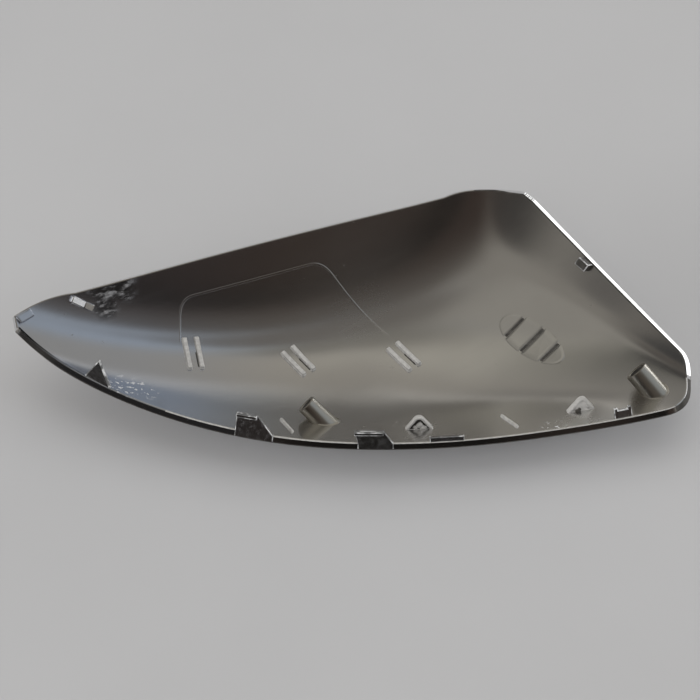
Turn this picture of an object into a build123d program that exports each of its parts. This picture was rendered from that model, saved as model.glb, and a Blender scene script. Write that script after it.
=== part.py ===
"""Wing mirror cover: one chrome-plated moulding, lying on its back.

It is drawn with the rim in the XY plane and the bowl below it, then leaned to
the angle at which it rests on a table.  Millimetres, X along the length.
"""
import os
from math import atan2, cos, exp, hypot, log, radians, sin, sqrt, tan

from build123d import *

# Overall plan size that every plan position is a share of
LENGTH = 240.0
WIDTH = 106.0
WALL = 2.8

# Bowl of the inner skin
BOWL_DEPTH = 24.5
KEEL_RADIUS = 265.0
CROSS_RADIUS = 85.0
END_RISE_RADIUS = 220.0
END_RISE_ANGLE = 34.5

# Walls that rise from the bowl to the rim, and how softly each one blends in
ROOF_SLOPE = 47.0
ROOF_BLEND = 6.0
NEAR_RADIUS_TIP = 180.0
NEAR_RADIUS_END = 440.0
NEAR_SLOPE_TIP = 41.5
NEAR_SLOPE_END = 29.0
NEAR_BLEND = 0.8
END_RADIUS = 135.0
END_SLOPE = 44.0
END_BLEND = 1.0

# Grid that the skin is drawn through
SKIN_STEP = 4.0
SKIN_MARGIN = 6.0
SKIN_TOLERANCE = 0.1

# Screw bosses, leaning from upright toward a heading in plan
CORNER_BOSS_DIAMETER = 8.4
CORNER_BOSS_BORE = 6.2
CORNER_BOSS_HEIGHT = 9.2
CORNER_BOSS_LEAN = 60.5
CORNER_BOSS_HEADING = 139.5
SIDE_BOSS_DIAMETER = 7.2
SIDE_BOSS_BORE = 4.6
SIDE_BOSS_HEIGHT = 8.5
SIDE_BOSS_LEAN = 58.5
SIDE_BOSS_HEADING = 147.0
BORE_FLOOR = 1.5

# Tabs along the near edge and the end edge
TAB_THICKNESS = 1.6
TAB_INSET = 0.3
HOOK_INSET = -0.3
HOOK_ROOT = 2.0
HOOK_HEIGHT = 6.5
HOOK_TOP = 7.4
HOOK_FOOT = 13.6
HOOK_LIP = 1.3
CATCH_HEIGHT = 4.5
CATCH_TOP = 9.0
CATCH_FOOT = 12.4
CATCH_UNDERCUT = 1.2
WEDGE_HEIGHT = 7.8
WEDGE_FOOT = 10.6
WEDGE_LEAD = 2.1
HOOD_WIDTH = 9.8
HOOD_PEAK = 5.8
HOOD_ROUND = 2.2
HOOD_WALL = 0.9
HOOD_DEPTH = 2.2
HOOD_HOLLOW = 1.3
HOOD_INSET = 8.5
BAR_WIDTH = 12.0
BAR_HEIGHT = 1.5
FORK_WIDTH = 6.4
FORK_HEIGHT = 3.9
FORK_POST = 1.4
STOP_WIDTH = 4.7
STOP_DEPTH = 3.2
STOP_HEIGHT = 3.4
STOP_INSET = 0.8
GUSSET_LENGTH = 8.8
GUSSET_WIDTH = 2.6
GUSSET_HEIGHT = 3.0
GUSSET_HEADING = -26.0
LEDGE_LENGTH = 6.0
LEDGE_WIDTH = 2.6
LEDGE_HEADING = 42.0

# Low relief on the inner skin
ROOT = 0.8
RIB_WIDTH = 1.2
RIB_HEIGHT = 1.1
RIB_SPACING = 4.4
RIB_LENGTH = 13.0
STUB_LENGTH = 9.2
PAD_LENGTH = 30.0
PAD_WIDTH = 13.6
PAD_HEIGHT = 0.4
PAD_HEADING = -45.0
SLOT_SPACING = 8.5
SLOT_WIDTH = 1.5

# Lean from the drawn pose to the pose at rest, and the depth of the flat it rests on
LEAN_X = 8.7
LEAN_Y = 0.9
FOOT_FLAT = 0.15

REACH = BOWL_DEPTH + LENGTH / 6
UP = (0, 0, 1)


def at(along, across):
    """Plan position from percent of the length and percent of the width."""
    return (LENGTH * along / 100, WIDTH * across / 100)


KEEL = at(-2.1, 11.3)
END_RISE = at(1.2, 0)
ROOF_LEFT = at(-40.8, 10.2)
ROOF_MIDDLE = at(-16.6, 28.3)
ROOF_RIGHT = at(14.4, 49.5)
NEAR_LOW = at(0.8, -49.1)
END_FROM = at(16.4, 53.2)
END_TO = at(47.7, -6.1)
TIP_LOW = at(-49.0, -4.5)
TIP_TOP = at(-49.5, 0)
CHIP_IN = at(26.4, 48.9)
CHIP_OUT = at(27.9, 46.1)
END_MIDDLE = at(38.1, 20.2)
END_LOW = at(48.3, -10.6)
NEAR_RIGHT = at(45.5, -35.0)
PAD_CENTRE = at(27.4, 2.5)
CORNER_BOSS = at(44.3, -24.6)
SIDE_BOSS = at(-3.9, -32.3)
GUSSET = at(-41.4, 8.3)
LEDGE = at(-48.0, 0.5)


def rise(span, radius):
    """Height that a curve of this radius gains over a span."""
    return span * span / (2 * radius)


def soft_max(a, b, softness):
    """The larger of two heights, with the change between them rounded."""
    top = max(a, b)
    return top + softness * log(exp((a - top) / softness) + exp((b - top) / softness))


def arc_centre(start, end, radius):
    """Centre of the arc that runs clockwise from start to end."""
    chord = hypot(end[0] - start[0], end[1] - start[1])
    back = sqrt(radius * radius - chord * chord / 4) / chord
    x = (start[0] + end[0]) / 2 + (end[1] - start[1]) * back
    y = (start[1] + end[1]) / 2 - (end[0] - start[0]) * back
    return x, y


END_CENTRE = arc_centre(END_FROM, END_TO, END_RADIUS)
ROOF_HEADING = atan2(ROOF_RIGHT[1] - ROOF_LEFT[1], ROOF_RIGHT[0] - ROOF_LEFT[0])


def skin_z(x, y):
    """Height of the inner skin at a plan position."""
    toward_end = (x - END_RISE[0]) * cos(radians(END_RISE_ANGLE)) + y * sin(radians(END_RISE_ANGLE))
    bowl = rise(min(x - KEEL[0], 0), KEEL_RADIUS) + rise(y - KEEL[1], CROSS_RADIUS)
    bowl += rise(max(toward_end, 0), END_RISE_RADIUS) - BOWL_DEPTH
    from_roof = (x - ROOF_LEFT[0]) * sin(ROOF_HEADING) - (y - ROOF_LEFT[1]) * cos(ROOF_HEADING)
    near_radius = NEAR_RADIUS_TIP if x < NEAR_LOW[0] else NEAR_RADIUS_END
    from_near = near_radius - hypot(x - NEAR_LOW[0], y - NEAR_LOW[1] - near_radius)
    share = min(max(x / LENGTH + 0.5, 0), 1)
    near_slope = NEAR_SLOPE_TIP + (NEAR_SLOPE_END - NEAR_SLOPE_TIP) * share
    from_end = END_RADIUS - hypot(x - END_CENTRE[0], y - END_CENTRE[1])
    z = soft_max(bowl, -from_roof * tan(radians(ROOF_SLOPE)), ROOF_BLEND)
    z = soft_max(z, -from_near * tan(radians(near_slope)), NEAR_BLEND)
    return soft_max(z, -from_end * tan(radians(END_SLOPE)), END_BLEND)


def skin_point(place):
    """Point of the inner skin over a plan position."""
    return Vector(place[0], place[1], skin_z(place[0], place[1]))


def skin_normal(place, step=0.1):
    """Direction into the bowl, square to the inner skin."""
    x, y = place
    slope_x = (skin_z(x + step, y) - skin_z(x - step, y)) / (2 * step)
    slope_y = (skin_z(x, y + step) - skin_z(x, y - step)) / (2 * step)
    return Vector(-slope_x, -slope_y, 1).normalized()


def compass(heading):
    """Level direction toward a heading in plan."""
    return Vector(cos(radians(heading)), sin(radians(heading)), 0)


def floor_seat(place, run):
    """Plane that touches the skin, with its X axis along a level direction."""
    normal = skin_normal(place)
    return Plane(origin=skin_point(place), x_dir=run - normal * run.dot(normal), z_dir=normal)


def upright(place, run):
    """Plane that stands on the skin along a level direction."""
    floor = floor_seat(place, run)
    return Plane(origin=floor.origin, x_dir=floor.x_dir, z_dir=floor.x_dir.cross(floor.z_dir))


def tab_seat(edge, share, inset):
    """Plane of a tab that stands on the skin along a rim edge, facing out."""
    run = edge % share
    foot = edge @ share + Vector(-run.Y, run.X, 0) * inset
    return upright((foot.X, foot.Y), run)


# Outline of the rim, anticlockwise in plan
with BuildSketch(Plane.XY.offset(-REACH)) as outline:
    with BuildLine():
        near = Spline(
            TIP_LOW, at(-37.8, -21.9), at(-24.7, -35.0), at(-5.4, -45.1),
            at(13.1, -46.1), at(30.8, -41.0), NEAR_RIGHT,
        )
        end = ThreePointArc(END_LOW, END_MIDDLE, CHIP_OUT)
        Spline(NEAR_RIGHT, at(49.5, -21.2), END_LOW, tangents=(near % 1, end % 0))
        Line(CHIP_OUT, CHIP_IN)
        roof = ThreePointArc(ROOF_RIGHT, ROOF_MIDDLE, ROOF_LEFT)
        Spline(CHIP_IN, at(22.2, 51.4), at(18.9, 52.0), at(16.3, 51.0), ROOF_RIGHT)
        Spline(ROOF_LEFT, at(-43.0, 8.8), at(-47.1, 4.4), TIP_TOP)
        Line(TIP_TOP, TIP_LOW)
    make_face()
with BuildPart() as trimmer:
    extrude(outline.sketch, amount=2 * REACH)

# Inner skin, drawn past the rim and trimmed back to it
plan_box = outline.sketch.bounding_box()
columns = round((plan_box.size.X + 2 * SKIN_MARGIN) / SKIN_STEP)
rows = round((plan_box.size.Y + 2 * SKIN_MARGIN) / SKIN_STEP)
grid = []
for column in range(columns + 1):
    x = plan_box.min.X - SKIN_MARGIN + SKIN_STEP * column
    ys = [plan_box.min.Y - SKIN_MARGIN + SKIN_STEP * row for row in range(rows + 1)]
    grid.append([skin_point((x, y)) for y in ys])
sheet = Face.make_surface_from_array_of_points(grid, tol=SKIN_TOLERANCE)
skin = sheet.intersect(trimmer.part).faces()[0]


def boss_axis(lean, heading):
    """Direction of a boss out of its mouth."""
    return compass(heading) * sin(radians(lean)) + Vector(UP) * cos(radians(lean))


# Bosses, each cut off inside the wall
corner_axis = boss_axis(CORNER_BOSS_LEAN, CORNER_BOSS_HEADING)
side_axis = boss_axis(SIDE_BOSS_LEAN, SIDE_BOSS_HEADING)
corner_plane = Plane(origin=skin_point(CORNER_BOSS) + corner_axis * CORNER_BOSS_HEIGHT, z_dir=corner_axis)
side_plane = Plane(origin=skin_point(SIDE_BOSS) + side_axis * SIDE_BOSS_HEIGHT, z_dir=side_axis)
with BuildPart() as corner_post:
    with BuildSketch(corner_plane):
        Circle(CORNER_BOSS_DIAMETER / 2)
    extrude(amount=-CORNER_BOSS_HEIGHT - 2 * CORNER_BOSS_DIAMETER)
    split(bisect_by=floor_seat(CORNER_BOSS, compass(0)).offset(-ROOT), keep=Keep.TOP)
with BuildPart() as side_post:
    with BuildSketch(side_plane):
        Circle(SIDE_BOSS_DIAMETER / 2)
    extrude(amount=-SIDE_BOSS_HEIGHT - 2 * SIDE_BOSS_DIAMETER)
    split(bisect_by=floor_seat(SIDE_BOSS, compass(0)).offset(-ROOT), keep=Keep.TOP)

# Tabs and ribs that stand on the skin
with BuildPart() as tabs:
    # Oval pad in flat bands, with a slot between each two
    band = SLOT_SPACING - SLOT_WIDTH
    for index in range(-2, 2):
        shift = (index + 0.5) * SLOT_SPACING
        step = compass(PAD_HEADING) * shift
        place = (PAD_CENTRE[0] + step.X, PAD_CENTRE[1] + step.Y)
        with BuildSketch(floor_seat(place, compass(PAD_HEADING)).offset(-ROOT)):
            with Locations((-shift, 0)):
                Ellipse(PAD_LENGTH / 2, PAD_WIDTH / 2)
            Rectangle(band, PAD_WIDTH, mode=Mode.INTERSECT)
        extrude(amount=ROOT + PAD_HEIGHT)

    # Pairs of ribs on the floor and two stubs on the near wall
    for place, heading in ((at(-23.5, -3.5), 101.5), (at(-7.8, -3.2), 128.5), (at(8.1, -1.0), 128.5)):
        with BuildSketch(floor_seat(place, compass(heading)).offset(-ROOT)):
            with GridLocations(0, RIB_SPACING, 1, 2):
                Rectangle(RIB_LENGTH, RIB_WIDTH)
        extrude(amount=ROOT + RIB_HEIGHT)
    for place, heading in ((at(-9.2, -36.3), 118), (at(23.2, -35.3), 124)):
        with BuildSketch(floor_seat(place, compass(heading)).offset(-ROOT)):
            Rectangle(STUB_LENGTH, RIB_WIDTH)
        extrude(amount=ROOT + RIB_HEIGHT)

    # Wedge tab toward the tip
    with BuildSketch(tab_seat(near, 0.147, TAB_INSET)):
        with BuildLine():
            Polyline(
                (-WEDGE_FOOT / 2, -ROOT), (WEDGE_FOOT / 2, -ROOT), (WEDGE_FOOT / 2, 0),
                (-WEDGE_LEAD, WEDGE_HEIGHT), (-WEDGE_FOOT / 2, 0), close=True,
            )
        make_face()
    extrude(amount=-TAB_THICKNESS)

    # Two hooks, each steep at its tip end and sloping at the other, with a lip
    for share, foot, top, height, undercut in (
        (0.396, HOOK_FOOT, HOOK_TOP, HOOK_HEIGHT, 0),
        (0.574, CATCH_FOOT, CATCH_TOP, CATCH_HEIGHT, CATCH_UNDERCUT),
    ):
        seat = tab_seat(near, share, HOOK_INSET)
        with BuildSketch(seat):
            with BuildLine():
                Polyline(
                    (-foot / 2, -HOOK_ROOT), (foot / 2, -HOOK_ROOT), (foot / 2, 0), (top - foot / 2, height),
                    (-foot / 2 - undercut, height), (-foot / 2, 0), close=True,
                )
            make_face()
        extrude(amount=-TAB_THICKNESS)
        with BuildSketch(seat):
            with Locations((top - foot / 2, height)):
                Rectangle(top + undercut, HOOK_LIP, align=(Align.MAX, Align.MAX))
        extrude(amount=HOOK_LIP)

    # Gabled hoods further in, each hollowed from its outer side
    for share in (0.64, 0.88):
        seat = tab_seat(near, share, HOOD_INSET)
        with BuildSketch(seat) as gable:
            with BuildLine():
                Polyline(
                    (-HOOD_WIDTH / 2, -ROOT), (HOOD_WIDTH / 2, -ROOT), (HOOD_WIDTH / 2, 0),
                    (0, HOOD_PEAK), (-HOOD_WIDTH / 2, 0), close=True,
                )
            make_face()
            fillet(gable.vertices().sort_by(Axis.Y)[-1], HOOD_ROUND)
        extrude(amount=-HOOD_DEPTH)
        with BuildSketch(seat):
            add(gable.sketch)
            offset(amount=-HOOD_WALL, mode=Mode.REPLACE)
        extrude(amount=-HOOD_HOLLOW, mode=Mode.SUBTRACT)

    # Gusset at the tip end of the roof edge, and the ledge on the tip
    with BuildSketch(upright(GUSSET, compass(GUSSET_HEADING))):
        with BuildLine():
            Polyline((0, -ROOT), (GUSSET_LENGTH, -ROOT), (GUSSET_LENGTH, 0), (0, GUSSET_HEIGHT), close=True)
        make_face()
    extrude(amount=GUSSET_WIDTH / 2, both=True)
    with BuildSketch(floor_seat(LEDGE, compass(LEDGE_HEADING)).offset(-ROOT)):
        Rectangle(LEDGE_LENGTH, LEDGE_WIDTH)
    extrude(amount=ROOT + RIB_HEIGHT)

    # Low bar, forked tab and the stop on the end wall
    with BuildSketch(tab_seat(near, 0.678, TAB_INSET)):
        with Locations((0, -ROOT)):
            Rectangle(BAR_WIDTH, BAR_HEIGHT + ROOT, align=(Align.CENTER, Align.MIN))
    extrude(amount=-TAB_THICKNESS)
    with BuildSketch(tab_seat(near, 0.94, HOOK_INSET)):
        with Locations((0, -HOOK_ROOT)):
            Rectangle(FORK_WIDTH, FORK_HEIGHT + HOOK_ROOT, align=(Align.CENTER, Align.MIN))
        with Locations((0, FORK_HEIGHT)):
            Rectangle(FORK_WIDTH - 2 * FORK_POST, FORK_HEIGHT / 2, mode=Mode.SUBTRACT)
    extrude(amount=-TAB_THICKNESS)
    with BuildSketch(tab_seat(end, 0.625, STOP_INSET)):
        with Locations((0, -ROOT)):
            Rectangle(STOP_WIDTH, STOP_HEIGHT + ROOT, align=(Align.CENTER, Align.MIN))
    extrude(amount=-STOP_DEPTH)

with BuildPart() as moulding:
    thicken(skin, amount=WALL, normal_override=(0, 0, -1))
    add([corner_post.part, side_post.part, tabs.part])

    # Bores of the bosses
    with Locations(corner_plane):
        Cylinder(
            CORNER_BOSS_BORE / 2, CORNER_BOSS_HEIGHT - BORE_FLOOR,
            align=(Align.CENTER, Align.CENTER, Align.MAX), mode=Mode.SUBTRACT,
        )
    with Locations(side_plane):
        Cylinder(
            SIDE_BOSS_BORE / 2, SIDE_BOSS_HEIGHT - BORE_FLOOR,
            align=(Align.CENTER, Align.CENTER, Align.MAX), mode=Mode.SUBTRACT,
        )

# Lean to the pose at rest, over the origin, with a small flat where it touches the table
with BuildPart() as leaned:
    add(moulding.part, rotation=(LEAN_X, LEAN_Y, 0))
lying = leaned.part.bounding_box()
with BuildPart() as mirror_cover:
    with Locations((-lying.center().X, -lying.center().Y, -lying.min.Z - FOOT_FLAT)):
        add(leaned.part)
    split(bisect_by=Plane.XY, keep=Keep.TOP)

os.makedirs("parts", exist_ok=True)
mirror_cover.part.label = "mirror_cover"
export_step(mirror_cover.part, "parts/mirror_cover.step")
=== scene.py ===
"""Wing mirror cover: a chrome-plated moulding lying open side up on a pale table.

Sizes of the cover are millimetres in the pose it is drawn in, with the rim
level; RestPose turns them into metres in the CAD frame. Finishes and lights
are given in metres in the CAD frame.
"""

import logging
import math
from dataclasses import dataclass, field
from enum import Enum
from typing import Any, Iterable, Optional, Sequence, Union

import bmesh
import bpy
import numpy as np
from mathutils import Matrix, Vector

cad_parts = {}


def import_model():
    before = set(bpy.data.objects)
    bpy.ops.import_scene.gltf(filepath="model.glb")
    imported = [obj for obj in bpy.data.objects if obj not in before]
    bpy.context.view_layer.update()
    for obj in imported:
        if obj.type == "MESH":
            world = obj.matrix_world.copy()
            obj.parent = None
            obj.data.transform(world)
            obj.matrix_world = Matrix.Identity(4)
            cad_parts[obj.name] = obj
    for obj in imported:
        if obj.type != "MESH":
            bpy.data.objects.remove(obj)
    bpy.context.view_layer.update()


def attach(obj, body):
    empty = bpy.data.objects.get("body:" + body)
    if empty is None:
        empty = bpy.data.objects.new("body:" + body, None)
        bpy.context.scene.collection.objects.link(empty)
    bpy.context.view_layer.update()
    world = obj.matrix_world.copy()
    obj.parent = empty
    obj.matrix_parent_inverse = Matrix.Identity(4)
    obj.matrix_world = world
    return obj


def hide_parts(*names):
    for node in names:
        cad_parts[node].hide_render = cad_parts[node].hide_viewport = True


LOG = logging.getLogger("mirror_cover")
NODE = "mirror_cover"
BODY = "root"
MM_IN_METRE = 1000

Pair = tuple[float, float]
Triple = tuple[float, float, float]
Array = np.ndarray


class MathOp(Enum):
    """Math node operations that shader expressions use."""

    ADD = "ADD"
    SUBTRACT = "SUBTRACT"
    MULTIPLY = "MULTIPLY"
    MINIMUM = "MINIMUM"
    MAXIMUM = "MAXIMUM"


class Face(Enum):
    """Material slots of every piece."""

    INSIDE = 0
    OUTSIDE = 1
    # Near-black paint: painted shade in hollows, bores, slot floors and beside ribs, painted dark reflections
    # on rim roundings and the stop, and the dark chips and torn notch.
    RECESS = 2
    # Light satin paint: painted sheen for highlights and reflections on the rim's inner line, hoods, ribs and
    # stubs.
    DULL = 3
    # Near-white paint: painted highlights on the tabs' rounded edges and on half the chips.
    EDGE = 4
    # White paint: a painted highlight on the gusset's upper half.
    FACET = 5


class Wear(Enum):
    """How a worn patch of plating shows."""

    HAZE = "haze"
    SPECKS = "specks"
    TORN = "torn"


@dataclass(frozen=True)
class RestPose:
    """How the drawn pose is leaned and moved to the pose at rest.

    Angles are degrees and the shift is millimetres.
    """

    lean_x: float = 8.7
    lean_y: float = 0.9
    shift: Triple = (-0.142, -3.283, 26.054)

    def turn(self) -> Array:
        """Rotation from the drawn pose to the CAD frame.

        Returns:
            The rotation, as a matrix.
        """
        leans = ((self.lean_x, "X"), (self.lean_y, "Y"))
        first, second = (Matrix.Rotation(math.radians(lean), 3, axis) for lean, axis in leans)
        return np.array(first @ second)

    def place(self, points: Array) -> Array:
        """Points of the CAD frame in metres.

        Args:
            points: Millimetres in the drawn pose, one row a point.

        Returns:
            The same points in the CAD frame, in metres.
        """
        return (np.asarray(points, float) @ self.turn().T + np.array(self.shift)) / MM_IN_METRE


@dataclass(frozen=True)
class Plan:
    """Overall plan size that plan positions are shares of."""

    length: float = 240.0
    width: float = 106.0

    def at(self, along: float, across: float) -> Pair:
        """Plan position from percent of the length and of the width."""
        return (self.length * along / 100, self.width * across / 100)


PLAN = Plan()
POSE = RestPose()


@dataclass(frozen=True)
class CoverSkin:
    """Inner skin of the cover: a bowl with three walls that rise to the rim."""

    wall: float = 2.8
    bowl_depth: float = 24.5
    keel_radius: float = 265.0
    cross_radius: float = 85.0
    end_rise_radius: float = 220.0
    end_rise_angle: float = 34.5
    roof_slope: float = 47.0
    roof_blend: float = 6.0
    near_radius_tip: float = 180.0
    near_radius_end: float = 440.0
    near_slope_tip: float = 41.5
    near_slope_end: float = 29.0
    near_blend: float = 0.8
    end_radius: float = 135.0
    end_slope: float = 44.0
    end_blend: float = 1.0
    keel: Pair = PLAN.at(-2.1, 11.3)
    end_rise: Pair = PLAN.at(1.2, 0)
    roof_left: Pair = PLAN.at(-40.8, 10.2)
    roof_right: Pair = PLAN.at(14.4, 49.5)
    near_low: Pair = PLAN.at(0.8, -49.1)
    end_from: Pair = PLAN.at(16.4, 53.2)
    end_to: Pair = PLAN.at(47.7, -6.1)

    @staticmethod
    def soft_max(a: Array, b: Array, softness: float) -> Array:
        """The larger of two heights, with the change between them rounded."""
        return softness * np.logaddexp(a / softness, b / softness)

    def end_centre(self) -> Pair:
        """Finds the centre of the end wall's arc.

        Returns:
            Its plan position.
        """
        (x0, y0), (x1, y1) = self.end_from, self.end_to
        chord = math.hypot(x1 - x0, y1 - y0)
        back = math.sqrt(self.end_radius**2 - chord**2 / 4) / chord
        return ((x0 + x1) / 2 + (y1 - y0) * back, (y0 + y1) / 2 - (x1 - x0) * back)

    def height(self, x: Array, y: Array) -> Array:
        """Height of the inner skin over plan positions.

        Args:
            x: Places along the cover, toward its end.
            y: Places across it, toward its roof.

        Returns:
            The heights, from the level of the rim.
        """
        x, y = np.asarray(x, float), np.asarray(y, float)
        turn = math.radians(self.end_rise_angle)
        toward_end = (x - self.end_rise[0]) * math.cos(turn) + y * math.sin(turn)
        bowl = np.minimum(x - self.keel[0], 0) ** 2 / (2 * self.keel_radius)
        bowl = bowl + (y - self.keel[1]) ** 2 / (2 * self.cross_radius)
        bowl = bowl + np.maximum(toward_end, 0) ** 2 / (2 * self.end_rise_radius) - self.bowl_depth
        (x0, y0), (x1, y1) = self.roof_left, self.roof_right
        roof = math.atan2(y1 - y0, x1 - x0)
        from_roof = (x - x0) * math.sin(roof) - (y - y0) * math.cos(roof)
        radius = np.where(x < self.near_low[0], self.near_radius_tip, self.near_radius_end)
        from_near = radius - np.hypot(x - self.near_low[0], y - self.near_low[1] - radius)
        share = np.clip(x / PLAN.length + 0.5, 0, 1)
        slope = self.near_slope_tip + (self.near_slope_end - self.near_slope_tip) * share
        centre = self.end_centre()
        from_end = self.end_radius - np.hypot(x - centre[0], y - centre[1])
        z = self.soft_max(bowl, -from_roof * math.tan(math.radians(self.roof_slope)), self.roof_blend)
        z = self.soft_max(z, -from_near * np.tan(np.radians(slope)), self.near_blend)
        return self.soft_max(z, -from_end * math.tan(math.radians(self.end_slope)), self.end_blend)

    def points(self, plan: Array) -> Array:
        """Points of the inner skin over plan positions."""
        plan = np.asarray(plan, float)
        return np.concatenate([plan[..., :2], self.height(plan[..., 0], plan[..., 1])[..., None]], -1)

    def normals(self, plan: Array, step: float = 0.05) -> Array:
        """Directions into the bowl, square to the inner skin.

        Args:
            plan: Plan positions, one row each.
            step: Distance over which the slope is measured.

        Returns:
            One direction a position.
        """
        plan = np.asarray(plan, float)
        x, y = plan[..., 0], plan[..., 1]
        slope_x = (self.height(x + step, y) - self.height(x - step, y)) / (2 * step)
        slope_y = (self.height(x, y + step) - self.height(x, y - step)) / (2 * step)
        return unit(np.stack([-slope_x, -slope_y, np.ones_like(slope_x)], -1))


SKIN = CoverSkin()


def unit(vectors: Array) -> Array:
    """Vectors scaled to length one."""
    return vectors / np.linalg.norm(vectors, axis=-1, keepdims=True)


def compass(heading: float) -> Array:
    """Level direction toward a heading in plan, in degrees."""
    return np.array([math.cos(math.radians(heading)), math.sin(math.radians(heading)), 0.0])


def even_steps(points: Array, count: int) -> Array:
    """Points at even steps along a polyline.

    Args:
        points: Plan points of the polyline.
        count: How many points to give, ends included.

    Returns:
        The new points, one row each.
    """
    runs = np.concatenate([[0.0], np.cumsum(np.linalg.norm(np.diff(points, axis=0), axis=1))])
    where = np.linspace(0, runs[-1], count)
    return np.stack([np.interp(where, runs, points[:, axis]) for axis in range(points.shape[1])], -1)


def even_loop(points: Array, count: int) -> Array:
    """Points at even steps around a closed loop of plan points."""
    return even_steps(np.concatenate([points, points[:1]]), count + 1)[:-1]


def left_of(run: Array) -> Array:
    """Plan directions a quarter turn to the left of other ones."""
    return np.stack([-run[..., 1], run[..., 0]], -1)


def outward(loop: Array) -> Array:
    """Directions out of an anticlockwise loop of plan points, one a point."""
    return -left_of(unit(np.roll(loop, -1, 0) - np.roll(loop, 1, 0)))


def laid(loop: Array, place: Pair, heading: float) -> Array:
    """A loop drawn along the x axis, laid at a plan position toward a heading."""
    run = compass(heading)[:2]
    return np.array(place) + loop[:, :1] * run + loop[:, 1:] * left_of(run)


def lagrange_slope(knots: Array, points: Array, at_end: bool, most: int = 4) -> Array:
    """End slope of the polynomial through the first or last few points.

    Args:
        knots: Curve parameters of the points.
        points: Points of the curve.
        at_end: Take the curve's end, not its start.
        most: How many points are used, at most.

    Returns:
        The slope there.
    """
    size = min(most, len(points))
    use = slice(len(points) - size, len(points)) if at_end else slice(0, size)
    knots, points = knots[use] - knots[use][-1 if at_end else 0], points[use]
    return np.stack([np.polyfit(knots, points[:, axis], size - 1)[-2] for axis in range(2)])


def spline(points: Sequence[Pair], tangents: Optional[Sequence[Array]] = None, steps: int = 24) -> Array:
    """Smooth curve through points.

    Args:
        points: Plan points that the curve passes through.
        tangents: Directions at its two ends, where they are set.
        steps: Pieces that each span is drawn with.

    Returns:
        Points along the curve.
    """
    through = np.array(points, float)
    gaps = np.linalg.norm(np.diff(through, axis=0), axis=1)
    knots = np.concatenate([[0.0], np.cumsum(gaps)])
    count = len(through)
    slopes = [lagrange_slope(knots, through, False), lagrange_slope(knots, through, True)]
    if tangents is not None:
        slopes = [t / np.abs(t).sum() * np.abs(s).sum() for s, t in zip(slopes, tangents)]
    system, right = np.eye(count), np.zeros((count, 2))
    right[0], right[-1] = slopes
    for i in range(1, count - 1):
        before, after = gaps[i - 1], gaps[i]
        system[i, i - 1 : i + 2] = after, 2 * (before + after), before
        right[i] = 3 * after * (through[i] - through[i - 1]) / before
        right[i] += 3 * before * (through[i + 1] - through[i]) / after
    slope = np.linalg.solve(system, right)
    out = []
    for i, gap in enumerate(gaps):
        t = np.linspace(0, 1, steps + 1)[:, None]
        from_here = (2 * t**3 - 3 * t**2 + 1) * through[i] + (t**3 - 2 * t**2 + t) * gap * slope[i]
        to_next = (3 * t**2 - 2 * t**3) * through[i + 1] + (t**3 - t**2) * gap * slope[i + 1]
        out.append((from_here + to_next)[: None if i == len(gaps) - 1 else -1])
    return np.concatenate(out)


def arc(start: Pair, middle: Pair, end: Pair, steps: int = 96) -> Array:
    """Arc of a circle through three plan points.

    Args:
        start: Where it starts.
        middle: A point that it passes through.
        end: Where it ends.
        steps: Pieces that it is drawn with.

    Returns:
        Points along the arc.
    """
    a, b, c = (complex(*p) for p in (start, middle, end))
    w = (c - a) / (b - a)
    centre = a + (b - a) * (w - abs(w) ** 2) / (2j * w.imag)
    turn = np.angle((c - centre) / (a - centre))
    if (np.angle((b - centre) / (a - centre)) > 0) != (turn > 0):
        turn -= math.copysign(2 * math.pi, turn)
    path = centre + (a - centre) * np.exp(1j * turn * np.linspace(0, 1, steps + 1))
    return np.stack([path.real, path.imag], -1)


def first_turn(path: Array, at_end: bool = False) -> Array:
    """Direction of a path at its start or its end."""
    return unit(path[-1] - path[-2] if at_end else path[1] - path[0])


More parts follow.
